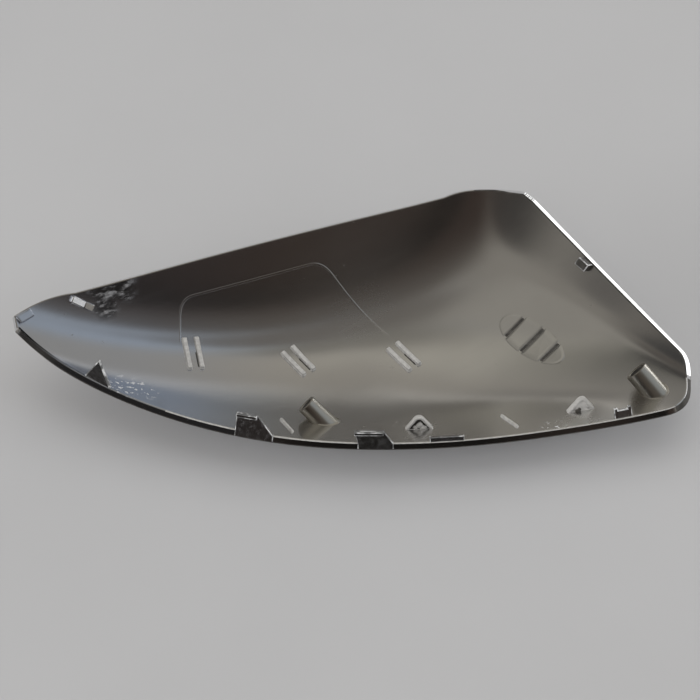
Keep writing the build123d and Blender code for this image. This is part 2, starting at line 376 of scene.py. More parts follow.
@dataclass(frozen=True)
class RimOutline:
    """Plan outline of the rim, anticlockwise from the lower corner of the tip."""

    tip_low: Pair = PLAN.at(-49.0, -4.5)
    tip_top: Pair = PLAN.at(-49.5, 0)
    roof_left: Pair = PLAN.at(-40.8, 10.2)
    roof_middle: Pair = PLAN.at(-16.6, 28.3)
    roof_right: Pair = PLAN.at(14.4, 49.5)
    chip_in: Pair = PLAN.at(26.4, 48.9)
    chip_out: Pair = PLAN.at(27.9, 46.1)
    end_middle: Pair = PLAN.at(38.1, 20.2)
    end_low: Pair = PLAN.at(48.3, -10.6)
    near_right: Pair = PLAN.at(45.5, -35.0)
    near_through: tuple[Pair, ...] = (
        PLAN.at(-37.8, -21.9), PLAN.at(-24.7, -35.0), PLAN.at(-5.4, -45.1),
        PLAN.at(13.1, -46.1), PLAN.at(30.8, -41.0),
    )
    corner_through: Pair = PLAN.at(49.5, -21.2)
    knuckle_through: tuple[Pair, ...] = (PLAN.at(22.2, 51.4), PLAN.at(18.9, 52.0), PLAN.at(16.3, 51.0))
    tip_through: tuple[Pair, ...] = (PLAN.at(-43.0, 8.8), PLAN.at(-47.1, 4.4))

    def near(self) -> Array:
        """Near edge, from the tip to the corner."""
        return spline((self.tip_low, *self.near_through, self.near_right))

    def end(self) -> Array:
        """End edge, from the corner to the chipped end of the roof."""
        return arc(self.end_low, self.end_middle, self.chip_out)

    def sides(self) -> tuple[Array, Array, Array, Array]:
        """Parts the outline into four sides, each running anticlockwise.

        Returns:
            The near, end, roof and tip sides.
        """
        near, end = self.near(), self.end()
        corner = spline(
            (self.near_right, self.corner_through, self.end_low),
            (first_turn(near, True), first_turn(end)),
        )
        knuckle = spline((self.chip_in, *self.knuckle_through, self.roof_right))
        roof = arc(self.roof_right, self.roof_middle, self.roof_left)
        tip = spline((self.roof_left, *self.tip_through, self.tip_top))
        turn, top = len(corner) // 2, len(knuckle) // 2
        near_side = np.concatenate([near, corner[1 : turn + 1]])
        end_side = np.concatenate([corner[turn:], end[1:], knuckle[: top + 1]])
        roof_side = np.concatenate([knuckle[top:], roof[1:]])
        tip_side = np.concatenate([tip, np.array([self.tip_low])])
        return near_side, end_side, roof_side, tip_side


RIM = RimOutline()


def linked(name: str, data: bpy.types.ID) -> bpy.types.Object:
    """Puts a new object into the scene.

    Args:
        name: Its name.
        data: Its mesh, light or camera.

    Returns:
        The object.
    """
    item = bpy.data.objects.new(name, data)
    bpy.context.scene.collection.objects.link(item)
    return item


@dataclass
class MeshDraft:
    """Points, faces and material slots of one mesh while it is drawn."""

    vertices: list[Array] = field(default_factory=list)
    faces: list[tuple[int, ...]] = field(default_factory=list)
    slots: list[int] = field(default_factory=list)
    count: int = 0

    def add(self, vertices: Array, faces: Iterable[Sequence[int]] = (), slot: Face = Face.INSIDE) -> int:
        """Adds points to the draft, and faces between them.

        Args:
            vertices: The points, one row each.
            faces: The faces, as indices of these points.
            slot: Material slot of the faces.

        Returns:
            The index that the first point got.
        """
        start = self.count
        self.vertices.append(np.asarray(vertices, float).reshape(-1, 3))
        self.count += len(self.vertices[-1])
        self.link((np.asarray(face) + start for face in faces), slot)
        return start

    def link(self, faces: Iterable[Sequence[int]], slot: Face = Face.INSIDE) -> None:
        """Adds faces between points that are already in the draft.

        Args:
            faces: The faces, as indices of the draft's points.
            slot: Material slot of the faces.
        """
        made = [tuple(int(i) for i in face) for face in faces]
        self.faces += made
        self.slots += [slot.value] * len(made)

    def tube(self, rings: Sequence[Array], slot: Face = Face.INSIDE, deep: Optional[int] = None) -> None:
        """Adds closed rings joined by quads, with a fan over each end.

        Args:
            rings: Loops of points, all of one length.
            slot: Material slot of the faces.
            deep: First ring of a recess, where the rings lead into one; its faces take painted shade.
        """
        size, count = len(rings[0]), len(rings)
        ends = [np.mean(rings[0], axis=0)[None], np.mean(rings[-1], axis=0)[None]]
        start = self.add(np.concatenate([*rings, *ends]))
        here, after = np.arange(size), np.roll(np.arange(size), -1)
        for level in range(count - 1):
            low, high = start + level * size, start + (level + 1) * size
            strip = np.stack([low + here, low + after, high + after, high + here], -1)
            self.link(strip, Face.RECESS if deep is not None and level >= deep else slot)
        foot, head = (np.full(size, start + count * size + end) for end in (0, 1))
        last = start + (count - 1) * size
        self.link(np.stack([foot, start + after, start + here], -1), slot)
        self.link(np.stack([head, last + here, last + after], -1), slot if deep is None else Face.RECESS)

    def build(self, name: str, normals: Optional[Array] = None, sharp: float = 40.0) -> bpy.types.Object:
        """Makes the object, in the CAD frame and nowhere below the table.

        Args:
            name: Name of the object.
            normals: Shading normals in the drawn pose, one a point, where they are known.
            sharp: Angle in degrees over which an edge stays crisp.

        Returns:
            The linked object.
        """
        mesh = bpy.data.meshes.new(name)
        points = POSE.place(np.concatenate(self.vertices))
        points[:, 2] = np.maximum(points[:, 2], 0.0)
        mesh.from_pydata(points.tolist(), [], self.faces)
        mesh.polygons.foreach_set("material_index", self.slots)
        mesh.polygons.foreach_set("use_smooth", [True] * len(mesh.polygons))
        mesh.update()
        piece = linked(name, mesh)
        if normals is not None:
            turned = np.asarray(normals) @ POSE.turn().T
            mesh.normals_split_custom_set_from_vertices(turned.tolist())
        else:
            edit = bmesh.new()
            edit.from_mesh(mesh)
            bmesh.ops.recalc_face_normals(edit, faces=edit.faces)
            edit.to_mesh(mesh)
            edit.free()
            mesh.set_sharp_from_angle(angle=math.radians(sharp))
        return piece


@dataclass(frozen=True)
class Seat:
    """Where a feature stands on the inner skin, and the directions there."""

    origin: Array
    along: Array
    up: Array

    @classmethod
    def on_skin(cls, place: Pair, heading: float) -> "Seat":
        """Seat at a plan position.

        Args:
            place: The plan position.
            heading: Heading of the seat's length, in degrees.

        Returns:
            The seat, square to the skin.
        """
        origin, up = SKIN.points(np.array(place)), SKIN.normals(np.array(place))
        run = compass(heading)
        return cls(origin, unit(run - up * run.dot(up)), up)

    @classmethod
    def on_edge(cls, edge: Array, share: float, inset: float, steps: int = 2000) -> "Seat":
        """Seat beside a rim edge.

        Args:
            edge: Plan points along the edge.
            share: How far along the edge, from 0 to 1.
            inset: How far in from the edge.
            steps: How finely the edge is parted.

        Returns:
            The seat, with its length along the edge.
        """
        fine = even_steps(edge, steps + 1)
        spot = round(share * steps)
        run = unit(fine[spot + 1] - fine[spot - 1])
        place = fine[spot] + inset * left_of(run)
        return cls.on_skin(tuple(place), math.degrees(math.atan2(run[1], run[0])))

    @classmethod
    def near(cls, share: float, inset: float) -> "Seat":
        """Seat beside the near edge."""
        return cls.on_edge(RIM.near(), share, inset)

    @property
    def out(self) -> Array:
        """Direction square to the seat's length, along the skin."""
        return np.cross(self.along, self.up)

    def points(self, along: Array, up: Array, out: Array) -> Array:
        """Points from distances along, up from and out from the seat."""
        along, up, out = (part[..., None] for part in np.broadcast_arrays(along, up, out))
        return self.origin + along * self.along + up * self.up + out * self.out


@dataclass(frozen=True)
class Lump:
    """A small ragged bit, at distances along, up from and out from a seat."""

    place: Triple
    size: float
    slot: Face
    sides: int = 10
    levels: int = 5
    poles: float = 0.85
    thickness: float = 0.6
    ragged: Pair = (0.7, 1.25)

    def draw(self, draft: MeshDraft, seat: Seat, jitter: np.random.Generator) -> None:
        """Adds the lump to a draft.

        Args:
            draft: Mesh that the lump is added to.
            seat: Seat that its place is measured from.
            jitter: Source of its raggedness.
        """
        turns = np.linspace(0, 2 * math.pi, self.sides, endpoint=False)
        along, up, out = self.place
        rings = []
        for level in np.linspace(-self.poles, self.poles, self.levels):
            radius = self.size * math.sqrt(1 - level**2) * jitter.uniform(*self.ragged, self.sides)
            across = along + radius * np.cos(turns), up + radius * np.sin(turns)
            rings.append(seat.points(*across, out + self.thickness * self.size * level))
        draft.tube(rings, self.slot)


class Sock:
    """A shader socket that Python expressions can work with."""

    def __init__(self, net: "Net", socket: bpy.types.NodeSocket) -> None:
        """Wraps a socket of a node net."""
        self.net = net
        self.socket = socket

    def _math(self, op: MathOp, a: "Value", b: "Value") -> "Sock":
        """Adds one Math node."""
        return self.net.node("ShaderNodeMath", {"operation": op.value}, {0: a, 1: b})

    def __add__(self, other: "Value") -> "Sock":
        """Sum."""
        return self._math(MathOp.ADD, self, other)

    __radd__ = __add__

    def __sub__(self, other: "Value") -> "Sock":
        """Difference."""
        return self._math(MathOp.SUBTRACT, self, other)

    def __rsub__(self, other: "Value") -> "Sock":
        """Difference from a number."""
        return self._math(MathOp.SUBTRACT, other, self)

    def __mul__(self, other: "Value") -> "Sock":
        """Product."""
        return self._math(MathOp.MULTIPLY, self, other)

    __rmul__ = __mul__

    def at_least(self, other: "Value") -> "Sock":
        """The larger of two values."""
        return self._math(MathOp.MAXIMUM, self, other)

    def at_most(self, other: "Value") -> "Sock":
        """The smaller of two values."""
        return self._math(MathOp.MINIMUM, self, other)

    def ease(self, low: float, high: float) -> "Sock":
        """Smooth step from 0 at low to 1 at high."""
        span = {"Value": self, "From Min": low, "From Max": high}
        return self.net.node("ShaderNodeMapRange", {"interpolation_type": "SMOOTHSTEP"}, span)


Value = Union[float, Sock]
Colour = Union[Triple, Sock]
Socket = Union[int, str]


class Net:
    """A node tree that shader code adds its nodes to."""

    def __init__(self, tree: bpy.types.NodeTree) -> None:
        """Takes over a node tree."""
        self.tree = tree

    def node(
        self, kind: str, settings: dict[str, Any], inputs: dict[Socket, Any], output: Socket = 0
    ) -> Sock:
        """Adds a node.

        Args:
            kind: Node type.
            settings: Properties to set before its sockets are used.
            inputs: Values or links by socket index or name.
            output: Output socket to give back.

        Returns:
            That output, wrapped.
        """
        node = self.tree.nodes.new(kind)
        for key, value in settings.items():
            setattr(node, key, value)
        for key, value in inputs.items():
            self.feed(node.inputs[key], value)
        return Sock(self, node.outputs[output])

    def feed(self, socket: bpy.types.NodeSocket, value: Any) -> None:
        """Sets a socket to a value or links it.

        Args:
            socket: Input socket of a node.
            value: Number, colour or vector, or the socket to link.
        """
        if isinstance(value, Sock):
            self.tree.links.new(value.socket, socket)
        elif isinstance(value, tuple) and len(value) == 3 and socket.type == "RGBA":
            socket.default_value = (*value, 1.0)
        else:
            socket.default_value = value

    def blend(self, share: Value, a: Colour, b: Colour) -> Sock:
        """Colour between a and b."""
        return self.node("ShaderNodeMix", {"data_type": "RGBA"}, {0: share, 6: a, 7: b}, 2)

    def here(self) -> Sock:
        """Position on the piece, in metres."""
        return self.node("ShaderNodeTexCoord", {}, {}, "Object")

    def vector_math(self, op: str, inputs: Sequence[Any], output: Socket = 0) -> Sock:
        """Adds one Vector Math node."""
        return self.node("ShaderNodeVectorMath", {"operation": op}, dict(enumerate(inputs)), output)

    def spot(self, vector: Sock, centre: Triple, radius: float, edge: float) -> Sock:
        """One inside a ball and 0 outside it, with a soft edge."""
        apart = self.vector_math("DISTANCE", (vector, centre), "Value")
        return 1 - apart.ease(radius - edge, radius + edge)

    def toward(self, vector: Sock, direction: Triple) -> Sock:
        """Cosine between a direction of the world and a fixed one."""
        return self.vector_math("DOT_PRODUCT", (vector, tuple(Vector(direction).normalized())), "Value")

    def relief(self, height: Value, depth: float) -> Sock:
        """Normal of a surface with fine relief of this depth, in metres."""
        inputs = {"Strength": 1.0, "Distance": depth, "Height": height}
        return self.node("ShaderNodeBump", {}, inputs, "Normal")


@dataclass(frozen=True)
class Noise:
    """Soft noise over a surface.

    The scale is the number of waves in a metre, or in a unit of the stretch
    where there is one: its heading in degrees, its length and its width in
    metres. A mask of the noise turns from 0 to 1 between the stops.
    """

    scale: float
    detail: float = 3.0
    roughness: float = 0.55
    stops: Pair = (0.0, 1.0)
    stretch: Optional[Triple] = None

    def over(self, net: Net, place: Sock, output: Socket = 0) -> Sock:
        """The noise at a position.

        Args:
            net: Node net of the finish.
            place: Position on the piece.
            output: Which output of the noise to give.

        Returns:
            A value, or a colour, from 0 to 1.
        """
        if self.stretch:
            heading, length, width = self.stretch
            units = {"Rotation": (0.0, 0.0, math.radians(heading)), "Scale": (length, width, width)}
            place = net.node("ShaderNodeMapping", {"vector_type": "TEXTURE"}, {"Vector": place} | units)
        grain = {"Scale": self.scale, "Detail": self.detail, "Roughness": self.roughness}
        return net.node("ShaderNodeTexNoise", {}, {"Vector": place} | grain, output)

    def mask(self, net: Net, place: Sock) -> Sock:
        """The noise at a position, turned from 0 to 1 between its stops."""
        return self.over(net, place).ease(*self.stops)


@dataclass(frozen=True)
class Mark:
    """A worn patch of the plating: how it shows, its middle and its reach, in metres."""

    kind: Wear
    centre: Triple
    radius: float


@dataclass(frozen=True)
class Finish:
    """A finish that is made as a material: its name and its colour."""

    name: str
    tint: Triple

    def material(self) -> bpy.types.Material:
        """Makes the finish as a material.

        Returns:
            The material, with its shader fed.
        """
        material = bpy.data.materials.new(self.name)
        material.use_nodes = True
        tree = material.node_tree
        self.paint(Net(tree), tree.nodes["Principled BSDF"].inputs)
        return material

    def paint(self, net: Net, shader: bpy.types.NodeInputs) -> None:
        """Feeds the shader's sockets; each finish does it in its own way."""
        raise NotImplementedError(self.name)

    def toned(self, level: float) -> Triple:
        """The finish's colour at another level."""
        return tuple(level * part for part in self.tint)


@dataclass(frozen=True)
class ChromePlating(Finish):
    """Chrome over moulded plastic, with faint waves, haze and fine wear, and where set a painted bluish
    reflection toward the tip.
    """

    worn_tint: Triple
    roughness: float
    haze: float
    wave: float
    specks: float
    marks: tuple[Mark, ...] = ()
    bloom: float = 0.0
    # Bluish painted reflection toward the tip, blended in across tip_from along x, in metres.
    tip_reflection_tint: Optional[Triple] = None
    tip_from: Pair = (-0.085, -0.015)
    bare_tint: Triple = (0.05, 0.045, 0.04)
    bright_tint: Triple = (0.86, 0.87, 0.89)
    cloud: Noise = Noise(22.0, 4.0)
    cloud_stops: Pair = (0.4, 0.8)
    cloud_worn: float = 0.12
    fog_stops: Pair = (0.35, 0.75)
    fog_share: float = 0.6
    wipe: Noise = Noise(1.0, 3.0, 0.6, (0.45, 0.8), (24.0, 0.04, 0.0024))
    grain: Noise = Noise(900.0, 2.0)
    grain_share: float = 0.02
    dust: Noise = Noise(640.0, 1.0, stops=(0.72, 0.8))
    dust_patch: Noise = Noise(60.0, 2.0, stops=(0.5, 0.72))
    dust_rough: float = 0.3
    waves: Noise = Noise(45.0, 1.0)
    bloom_patch: Noise = Noise(800.0, stops=(0.45, 0.75))
    mark_edge: float = 0.6
    haze_edge: float = 0.95
    haze_rough: float = 0.08
    ragged_noise: Noise = Noise(160.0, 4.0, 0.5)
    ragged_reach: float = 0.004
    flake: Noise = Noise(1.0, 6.0, 0.7, (0.47, 0.64), (17.0, 0.0042, 0.0018))
    flake_share: float = 0.6
    torn_share: float = 0.75
    torn_rough: float = 0.1
    speck: Noise = Noise(620.0, 1.0, stops=(0.6, 0.66))
    bright_rough: float = 0.15
    bright_dull: float = 0.7

    def ragged(self, net: Net, here: Sock) -> Sock:
        """A position shifted by noise, so that patches get ragged edges.

        Args:
            net: Node net of the finish.
            here: Position on the piece.

        Returns:
            The shifted position.
        """
        noise = self.ragged_noise.over(net, here, "Color")
        reach, middle = (self.ragged_reach,) * 3, (-self.ragged_reach / 2,) * 3
        shift = net.vector_math("MULTIPLY_ADD", (noise, reach, middle))
        return net.vector_math("ADD", (here, shift))

    def worn(self, net: Net, here: Sock, kind: Wear) -> Value:
        """Where the marks of one kind lie.

        Args:
            net: Node net of the finish.
            here: Position on the piece.
            kind: Kind of wear.

        Returns:
            The share of wear from 0 to 1; haze fades out softly and the rest has ragged edges.
        """
        hazy = kind is Wear.HAZE
        place, edge = (here, self.haze_edge) if hazy else (self.ragged(net, here), self.mark_edge)
        share: Value = 0.0
        for mark in self.marks:
            if mark.kind is kind:
                spot = net.spot(place, mark.centre, mark.radius, mark.radius * edge)
                share = spot if isinstance(share, float) else spot.at_least(share)
        return share

    def wear(self, net: Net, here: Sock, colour: Sock, rough: Sock) -> tuple[Sock, Sock, Sock]:
        """Wears the plating where the marks are.

        Args:
            net: Node net of the finish.
            here: Position on the piece.
            colour: Colour of the sound plating.
            rough: Roughness of the sound plating.

        Returns:
            The colour, the roughness and the share that is still metal.
        """
        torn = self.worn(net, here, Wear.TORN)
        flakes = torn * (self.flake_share * self.flake.mask(net, here))
        bright = flakes.at_least(self.speck.mask(net, here) * self.worn(net, here, Wear.SPECKS))
        colour = net.blend(self.torn_share * torn, colour, self.bare_tint)
        colour = net.blend(bright, colour, self.bright_tint)
        rough = rough + self.haze_rough * self.worn(net, here, Wear.HAZE)
        rough = rough + self.bright_rough * bright + self.torn_rough * torn
        return colour, rough, 1 - self.bright_dull * bright

    def paint(self, net: Net, shader: bpy.types.NodeInputs) -> None:
        """Feeds the shader's sockets.

        Args:
            net: Node net of the finish.
            shader: Sockets of the shader.
        """
        here = net.here()
        cloud, grain = self.cloud.over(net, here), self.grain.over(net, here)
        dust = self.dust.mask(net, here) * self.dust_patch.mask(net, here)
        worn = (dust * self.specks).at_most(1.0)
        tint: Colour = self.tint
        # Toward the tip the colour turns bluish: a painted reflection of bluish light.
        if self.tip_reflection_tint:
            along = net.node("ShaderNodeSeparateXYZ", {}, {"Vector": here}, "X")
            tint = net.blend(along.ease(*self.tip_from), self.tip_reflection_tint, self.tint)
        colour = net.blend(worn + self.cloud_worn * cloud.ease(*self.cloud_stops), tint, self.worn_tint)
        wipe = self.wipe.mask(net, here)
        haze = cloud.ease(*self.fog_stops) * self.fog_share + wipe * (1 - self.fog_share)
        rough = self.roughness + self.haze * haze + self.grain_share * grain + self.dust_rough * worn
        metal: Value = 1.0
        if self.marks:
            colour, rough, metal = self.wear(net, here, colour, rough)
        elif self.bloom:
            metal = 1 - self.bloom * self.bloom_patch.mask(net, here)
        height = self.waves.over(net, here) + self.grain_share * grain
        net.feed(shader["Metallic"], metal)
        net.feed(shader["Base Color"], colour)
        net.feed(shader["Roughness"], rough)
        net.feed(shader["Normal"], net.relief(height, self.wave))


@dataclass(frozen=True)
class TablePaint(Finish):
    """Matt pale grey table top, with faint clouds."""

    name: str = "pale_table"
    tint: Triple = (0.60, 0.60, 0.61)
    cloud: Noise = Noise(6.0, 4.0, stops=(0.3, 0.7))
    cloud_level: float = 0.965
    gloss: float = 0.2
    roughness: float = 0.6
    grain: Noise = Noise(300.0)
    grain_rough: float = 0.1

    def paint(self, net: Net, shader: bpy.types.NodeInputs) -> None:
        """Feeds the shader's sockets.

        Args:
            net: Node net of the finish.
            shader: Sockets of the shader.
        """
        here = net.here()
        tone = self.cloud.mask(net, here)
        net.feed(shader["Specular IOR Level"], self.gloss)
        net.feed(shader["Base Color"], net.blend(tone, self.toned(self.cloud_level), self.tint))
        net.feed(shader["Roughness"], self.roughness + self.grain_rough * self.grain.over(net, here))


@dataclass(frozen=True)
class ShadePaint(Finish):
    """Near-black paint: painted shade in hollows, bores, slot floors and beside ribs, and painted dark
    reflections on rim roundings and the stop; the chips and the torn notch take it too.
    """

    name: str = "painted_shade"
    tint: Triple = (0.045, 0.042, 0.038)
    patch: Noise = Noise(500.0, stops=(0.35, 0.75))
    patch_level: float = 2.2
    roughness: float = 0.4
    patch_rough: float = 0.25

    def paint(self, net: Net, shader: bpy.types.NodeInputs) -> None:
        """Feeds the shader's sockets.

        Args:
            net: Node net of the finish.
            shader: Sockets of the shader.
        """
        tone = self.patch.mask(net, net.here())
        net.feed(shader["Base Color"], net.blend(tone, self.tint, self.toned(self.patch_level)))
        net.feed(shader["Roughness"], self.roughness + self.patch_rough * tone)


@dataclass(frozen=True)
class SatinPlating(Finish):
    """Satin paint, plain or in patches: painted sheen for reflections and highlights, and painted highlights
    on edges and facets.
    """

    metallic: float
    roughness: float
    patches: float
    patch_level: float
    patch_stops: Pair = (0.42, 0.58)
    grain: Noise = Noise(900.0)
    grain_rough: float = 0.2
    grain_depth: float = 0.00006

    def paint(self, net: Net, shader: bpy.types.NodeInputs) -> None:
        """Feeds the shader's sockets.

        Args:
            net: Node net of the finish.
            shader: Sockets of the shader.
        """
        here = net.here()
        grain = self.grain.over(net, here)
        patch = Noise(self.patches, stops=self.patch_stops).mask(net, here)
        net.feed(shader["Metallic"], self.metallic)
        net.feed(shader["Base Color"], net.blend(patch, self.toned(self.patch_level), self.tint))
        net.feed(shader["Roughness"], self.roughness + self.grain_rough * grain)
        net.feed(shader["Normal"], net.relief(grain, self.grain_depth))


INNER_CHROME = ChromePlating(
    "chrome_inside", (0.74, 0.735, 0.725), (0.42, 0.41, 0.40),
    # The tip colour here is a painted bluish reflection.
    roughness=0.17, haze=0.06, wave=0.00006, specks=0.5, tip_reflection_tint=(0.66, 0.70, 0.785),
    marks=(
        Mark(Wear.HAZE, (0.004, 0.014, 0.007), 0.022),
        Mark(Wear.HAZE, (0.0245, -0.0430, 0.0125), 0.010),
        Mark(Wear.HAZE, (0.0805, -0.0420, 0.0155), 0.010),
        Mark(Wear.HAZE, (0.1015, -0.0320, 0.0160), 0.008),
        Mark(Wear.TORN, (-0.0885, 0.0095, 0.0280), 0.0045),
        Mark(Wear.TORN, (-0.0880, 0.0055, 0.0245), 0.0040),
        Mark(Wear.TORN, (-0.0820, 0.0120, 0.0285), 0.0045),
        Mark(Wear.SPECKS, (-0.0794, -0.0259, 0.0177), 0.006),
        Mark(Wear.SPECKS, (-0.0725, -0.0261, 0.0157), 0.005),
        Mark(Wear.SPECKS, (0.0710, -0.0452, 0.0163), 0.004),
    ),
)
TAB_CHROME = ChromePlating(
    "chrome_tabs", (0.74, 0.74, 0.75), (0.30, 0.29, 0.29),
    roughness=0.12, haze=0.08, wave=0.00016, specks=1.2, bloom=0.07,
)
BOSS_CHROME = ChromePlating(
    "chrome_bosses", (0.60, 0.58, 0.53), (0.30, 0.29, 0.28),
    roughness=0.27, haze=0.08, wave=0.00006, specks=0.5,
)
OUTER_CHROME = ChromePlating(
    "chrome_outside", (0.76, 0.765, 0.775), (0.45, 0.45, 0.45),
    roughness=0.045, haze=0.03, wave=0.00002, specks=0.25,
)
# Light satin paint: painted sheen for highlights and reflections on the rim's inner line, hoods, ribs and
# stubs.
SHEEN_PAINT = SatinPlating(
    "painted_sheen", (0.64, 0.63, 0.61), metallic=0.15, roughness=0.35, patches=700.0, patch_level=0.85
)
# White paint: a painted highlight on the gusset's upper half.
HIGHLIGHT_FACET_PAINT = SatinPlating(
    "painted_highlight_facet", (0.93, 0.94, 0.96), metallic=0.0, roughness=0.25, patches=420.0, patch_level=0.9
)
# Near-white satin: painted highlights on the tabs' rounded edges and on half the chips.
EDGE_HIGHLIGHT_PAINT = SatinPlating(
    "painted_edge_highlights", (0.90, 0.91, 0.92), metallic=0.3, roughness=0.2, patches=420.0, patch_level=0.22
)


@dataclass
class CoverShell:
    """The moulding's shell: inner skin, outer skin and the rounded rim between them.

    Leans are degrees, and places along the near and end sides are shares of them.
    """

    columns: int = 250
    rows: int = 104
    rim_round: float = 0.5
    rim_steps: int = 5
    near_lean: float = 39.0
    end_lean: float = 57.0
    most_slant: float = 22.0
    least_reach: float = 0.02
    line_from: float = 0.24
    line_level: int = 2
    corner_from: float = 0.94
    end_until: float = 0.88
    end_fade: float = 0.05

    def slants(self, out: Array) -> Array:
        """How far the rim's face leans against the skin's edge.

        The face of the near and end sides keeps one angle to the level.

        Args:
            out: Outward directions of the skin's edge, one a rim point.

        Returns:
            The lean at every rim point, in degrees.
        """
        n, m = self.columns, self.rows
        stops = np.array([0, self.corner_from * n, n, n + self.end_until * m])
        place, run_out = np.arange(len(out)), self.end_fade * m
        wanted = np.interp(place, stops, [self.near_lean] * 2 + [self.end_lean] * 2)
        fade = np.clip((stops[-1] + run_out - place) / run_out, 0, 1)
        return fade * np.clip(wanted - np.degrees(np.arcsin(out[:, 2])), 0, self.most_slant)

    def rim_slots(self, level: int) -> list[tuple[slice, Face]]:
        """Finish of one strip of the rim, side by side.

        Args:
            level: Strip of the rim, counted from the inner skin.

        Returns:
            Ranges of rim points, each with its material slot.
        """
        n, m = self.columns, self.rows
        inner, outer = level < self.rim_steps, level > self.rim_steps
        # Painted shade stands in for dark reflections on the near side's outer rounding, on the corner's face
        # and outer rounding and on both roundings of the end side; from line_from to the corner the inner
        # rounding past line_level gets painted sheen, a painted highlight line.
        near = Face.RECESS if outer else Face.OUTSIDE
        plain = Face.INSIDE if inner else near
        line = Face.DULL if inner and level >= self.line_level else plain
        turn = Face.OUTSIDE if inner else Face.RECESS
        end = Face.RECESS if inner or outer else Face.OUTSIDE
        stops = (0, round(self.line_from * n), round(self.corner_from * n), n, n + m, None)
        spans = [slice(start, stop) for start, stop in zip(stops[:-1], stops[1:])]
        return list(zip(spans, (plain, line, turn, end, Face.OUTSIDE)))

    def boundary(self) -> tuple[Array, Array, Array]:
        """Rim points around the shell and the directions there.

        Returns:
            Plan points where the rounding starts, the outward directions and
            the lean of the rim's face in radians.
        """
        counts = (self.columns, self.rows, self.columns, self.rows)
        sides = [even_steps(side, count + 1)[:-1] for side, count in zip(RIM.sides(), counts)]
        loop = np.concatenate(sides)
        rim = SKIN.points(loop)
        run = unit(np.roll(rim, -1, 0) - np.roll(rim, 1, 0))
        out = unit(np.cross(run, SKIN.normals(loop)))
        lean = np.radians(self.slants(out))[:, None]
        return (rim - (self.rim_round + self.reach(lean)) * out)[:, :2], out, lean

    def reach(self, lean: Array) -> Array:
        """How much further out the rim's lower edge lies than its upper one."""
        return (SKIN.wall - 2 * self.rim_round) * np.tan(lean) + self.least_reach

    def grid(self, loop: Array) -> Array:
        """Plan points that fill the outline in columns and rows.

        Args:
            loop: Closed loop of plan points, side after side.

        Returns:
            Points by column and row.
        """
        n, m = self.columns, self.rows
        near, end = loop[: n + 1], loop[n : n + m + 1]
        roof = loop[n + m : 2 * n + m + 1][::-1]
        tip = np.concatenate([loop[2 * n + m :], loop[:1]])[::-1]
        u, v = np.linspace(0, 1, n + 1)[:, None, None], np.linspace(0, 1, m + 1)[None, :, None]
        across = (1 - v) * near[:, None] + v * roof[:, None]
        along = (1 - u) * tip[None] + u * end[None]
        corners = (1 - u) * (1 - v) * near[0] + u * (1 - v) * near[-1]
        corners = corners + (1 - u) * v * roof[0] + u * v * roof[-1]
        return across + along - corners

    def rim(self, start: Array, up: Array, out: Array, lean: Array) -> tuple[list[Array], list[Array]]:
        """Rings around the rim, from the inner skin to the outer one.

        Args:
            start: Points of the inner skin's edge.
            up: Directions square to the skin there.
            out: Directions out of the edge, along the skin.
            lean: Lean of the rim's face there, in radians.

        Returns:
            The rings, and the shading normals of their points.
        """
        reach = self.reach(lean)
        rings, shades = [], []
        for share in np.linspace(0, 1, self.rim_steps + 1)[1:]:
            turn = share * (math.pi / 2 - lean)
            shades.append(np.cos(turn) * up + np.sin(turn) * out)
            rings.append(start + self.rim_round * (shades[-1] - up))
        for share in np.linspace(0, 1, self.rim_steps + 1):
            turn = share * (math.pi / 2 + lean) - lean
            shades.append(np.cos(turn) * out - np.sin(turn) * up)
            rings.append(start + reach * out + self.rim_round * (shades[-1] + up) - SKIN.wall * up)
        return rings, shades

    def build(self) -> bpy.types.Object:
        """Draws the shell as one closed mesh.

        Returns:
            The piece.
        """
        loop, out, lean = self.boundary()
        n, m = self.columns, self.rows
        plan = self.grid(loop)
        inner, normal = SKIN.points(plan), SKIN.normals(plan)
        index = np.arange((n + 1) * (m + 1)).reshape(n + 1, m + 1)
        quads = np.stack([index[:-1, :-1], index[1:, :-1], index[1:, 1:], index[:-1, 1:]], -1).reshape(-1, 4)
        draft = MeshDraft()
        draft.add(inner, quads, Face.INSIDE)
        low = draft.add(inner - SKIN.wall * normal, quads[:, ::-1], Face.OUTSIDE)
        edge = np.concatenate([index[:-1, 0], index[-1, :-1], index[:0:-1, -1], index[0, :0:-1]])
        start, up = inner.reshape(-1, 3)[edge], normal.reshape(-1, 3)[edge]
        out = unit(out - up * np.sum(out * up, -1, keepdims=True))
        rings, shades = self.rim(start, up, out, lean)
        size = len(edge)
        first = draft.add(np.concatenate(rings))
        loops = [edge, *(first + level * size + np.arange(size) for level in range(len(rings))), edge + low]
        after = np.roll(np.arange(size), -1)
        for level, (inside, outside) in enumerate(zip(loops[:-1], loops[1:])):
            strip = np.stack([inside, outside, outside[after], inside[after]], -1)
            for span, slot in self.rim_slots(level):
                draft.link(strip[span], slot)
        skins = [normal.reshape(-1, 3), -normal.reshape(-1, 3)]
        return draft.build("cover_shell", np.concatenate(skins + shades))


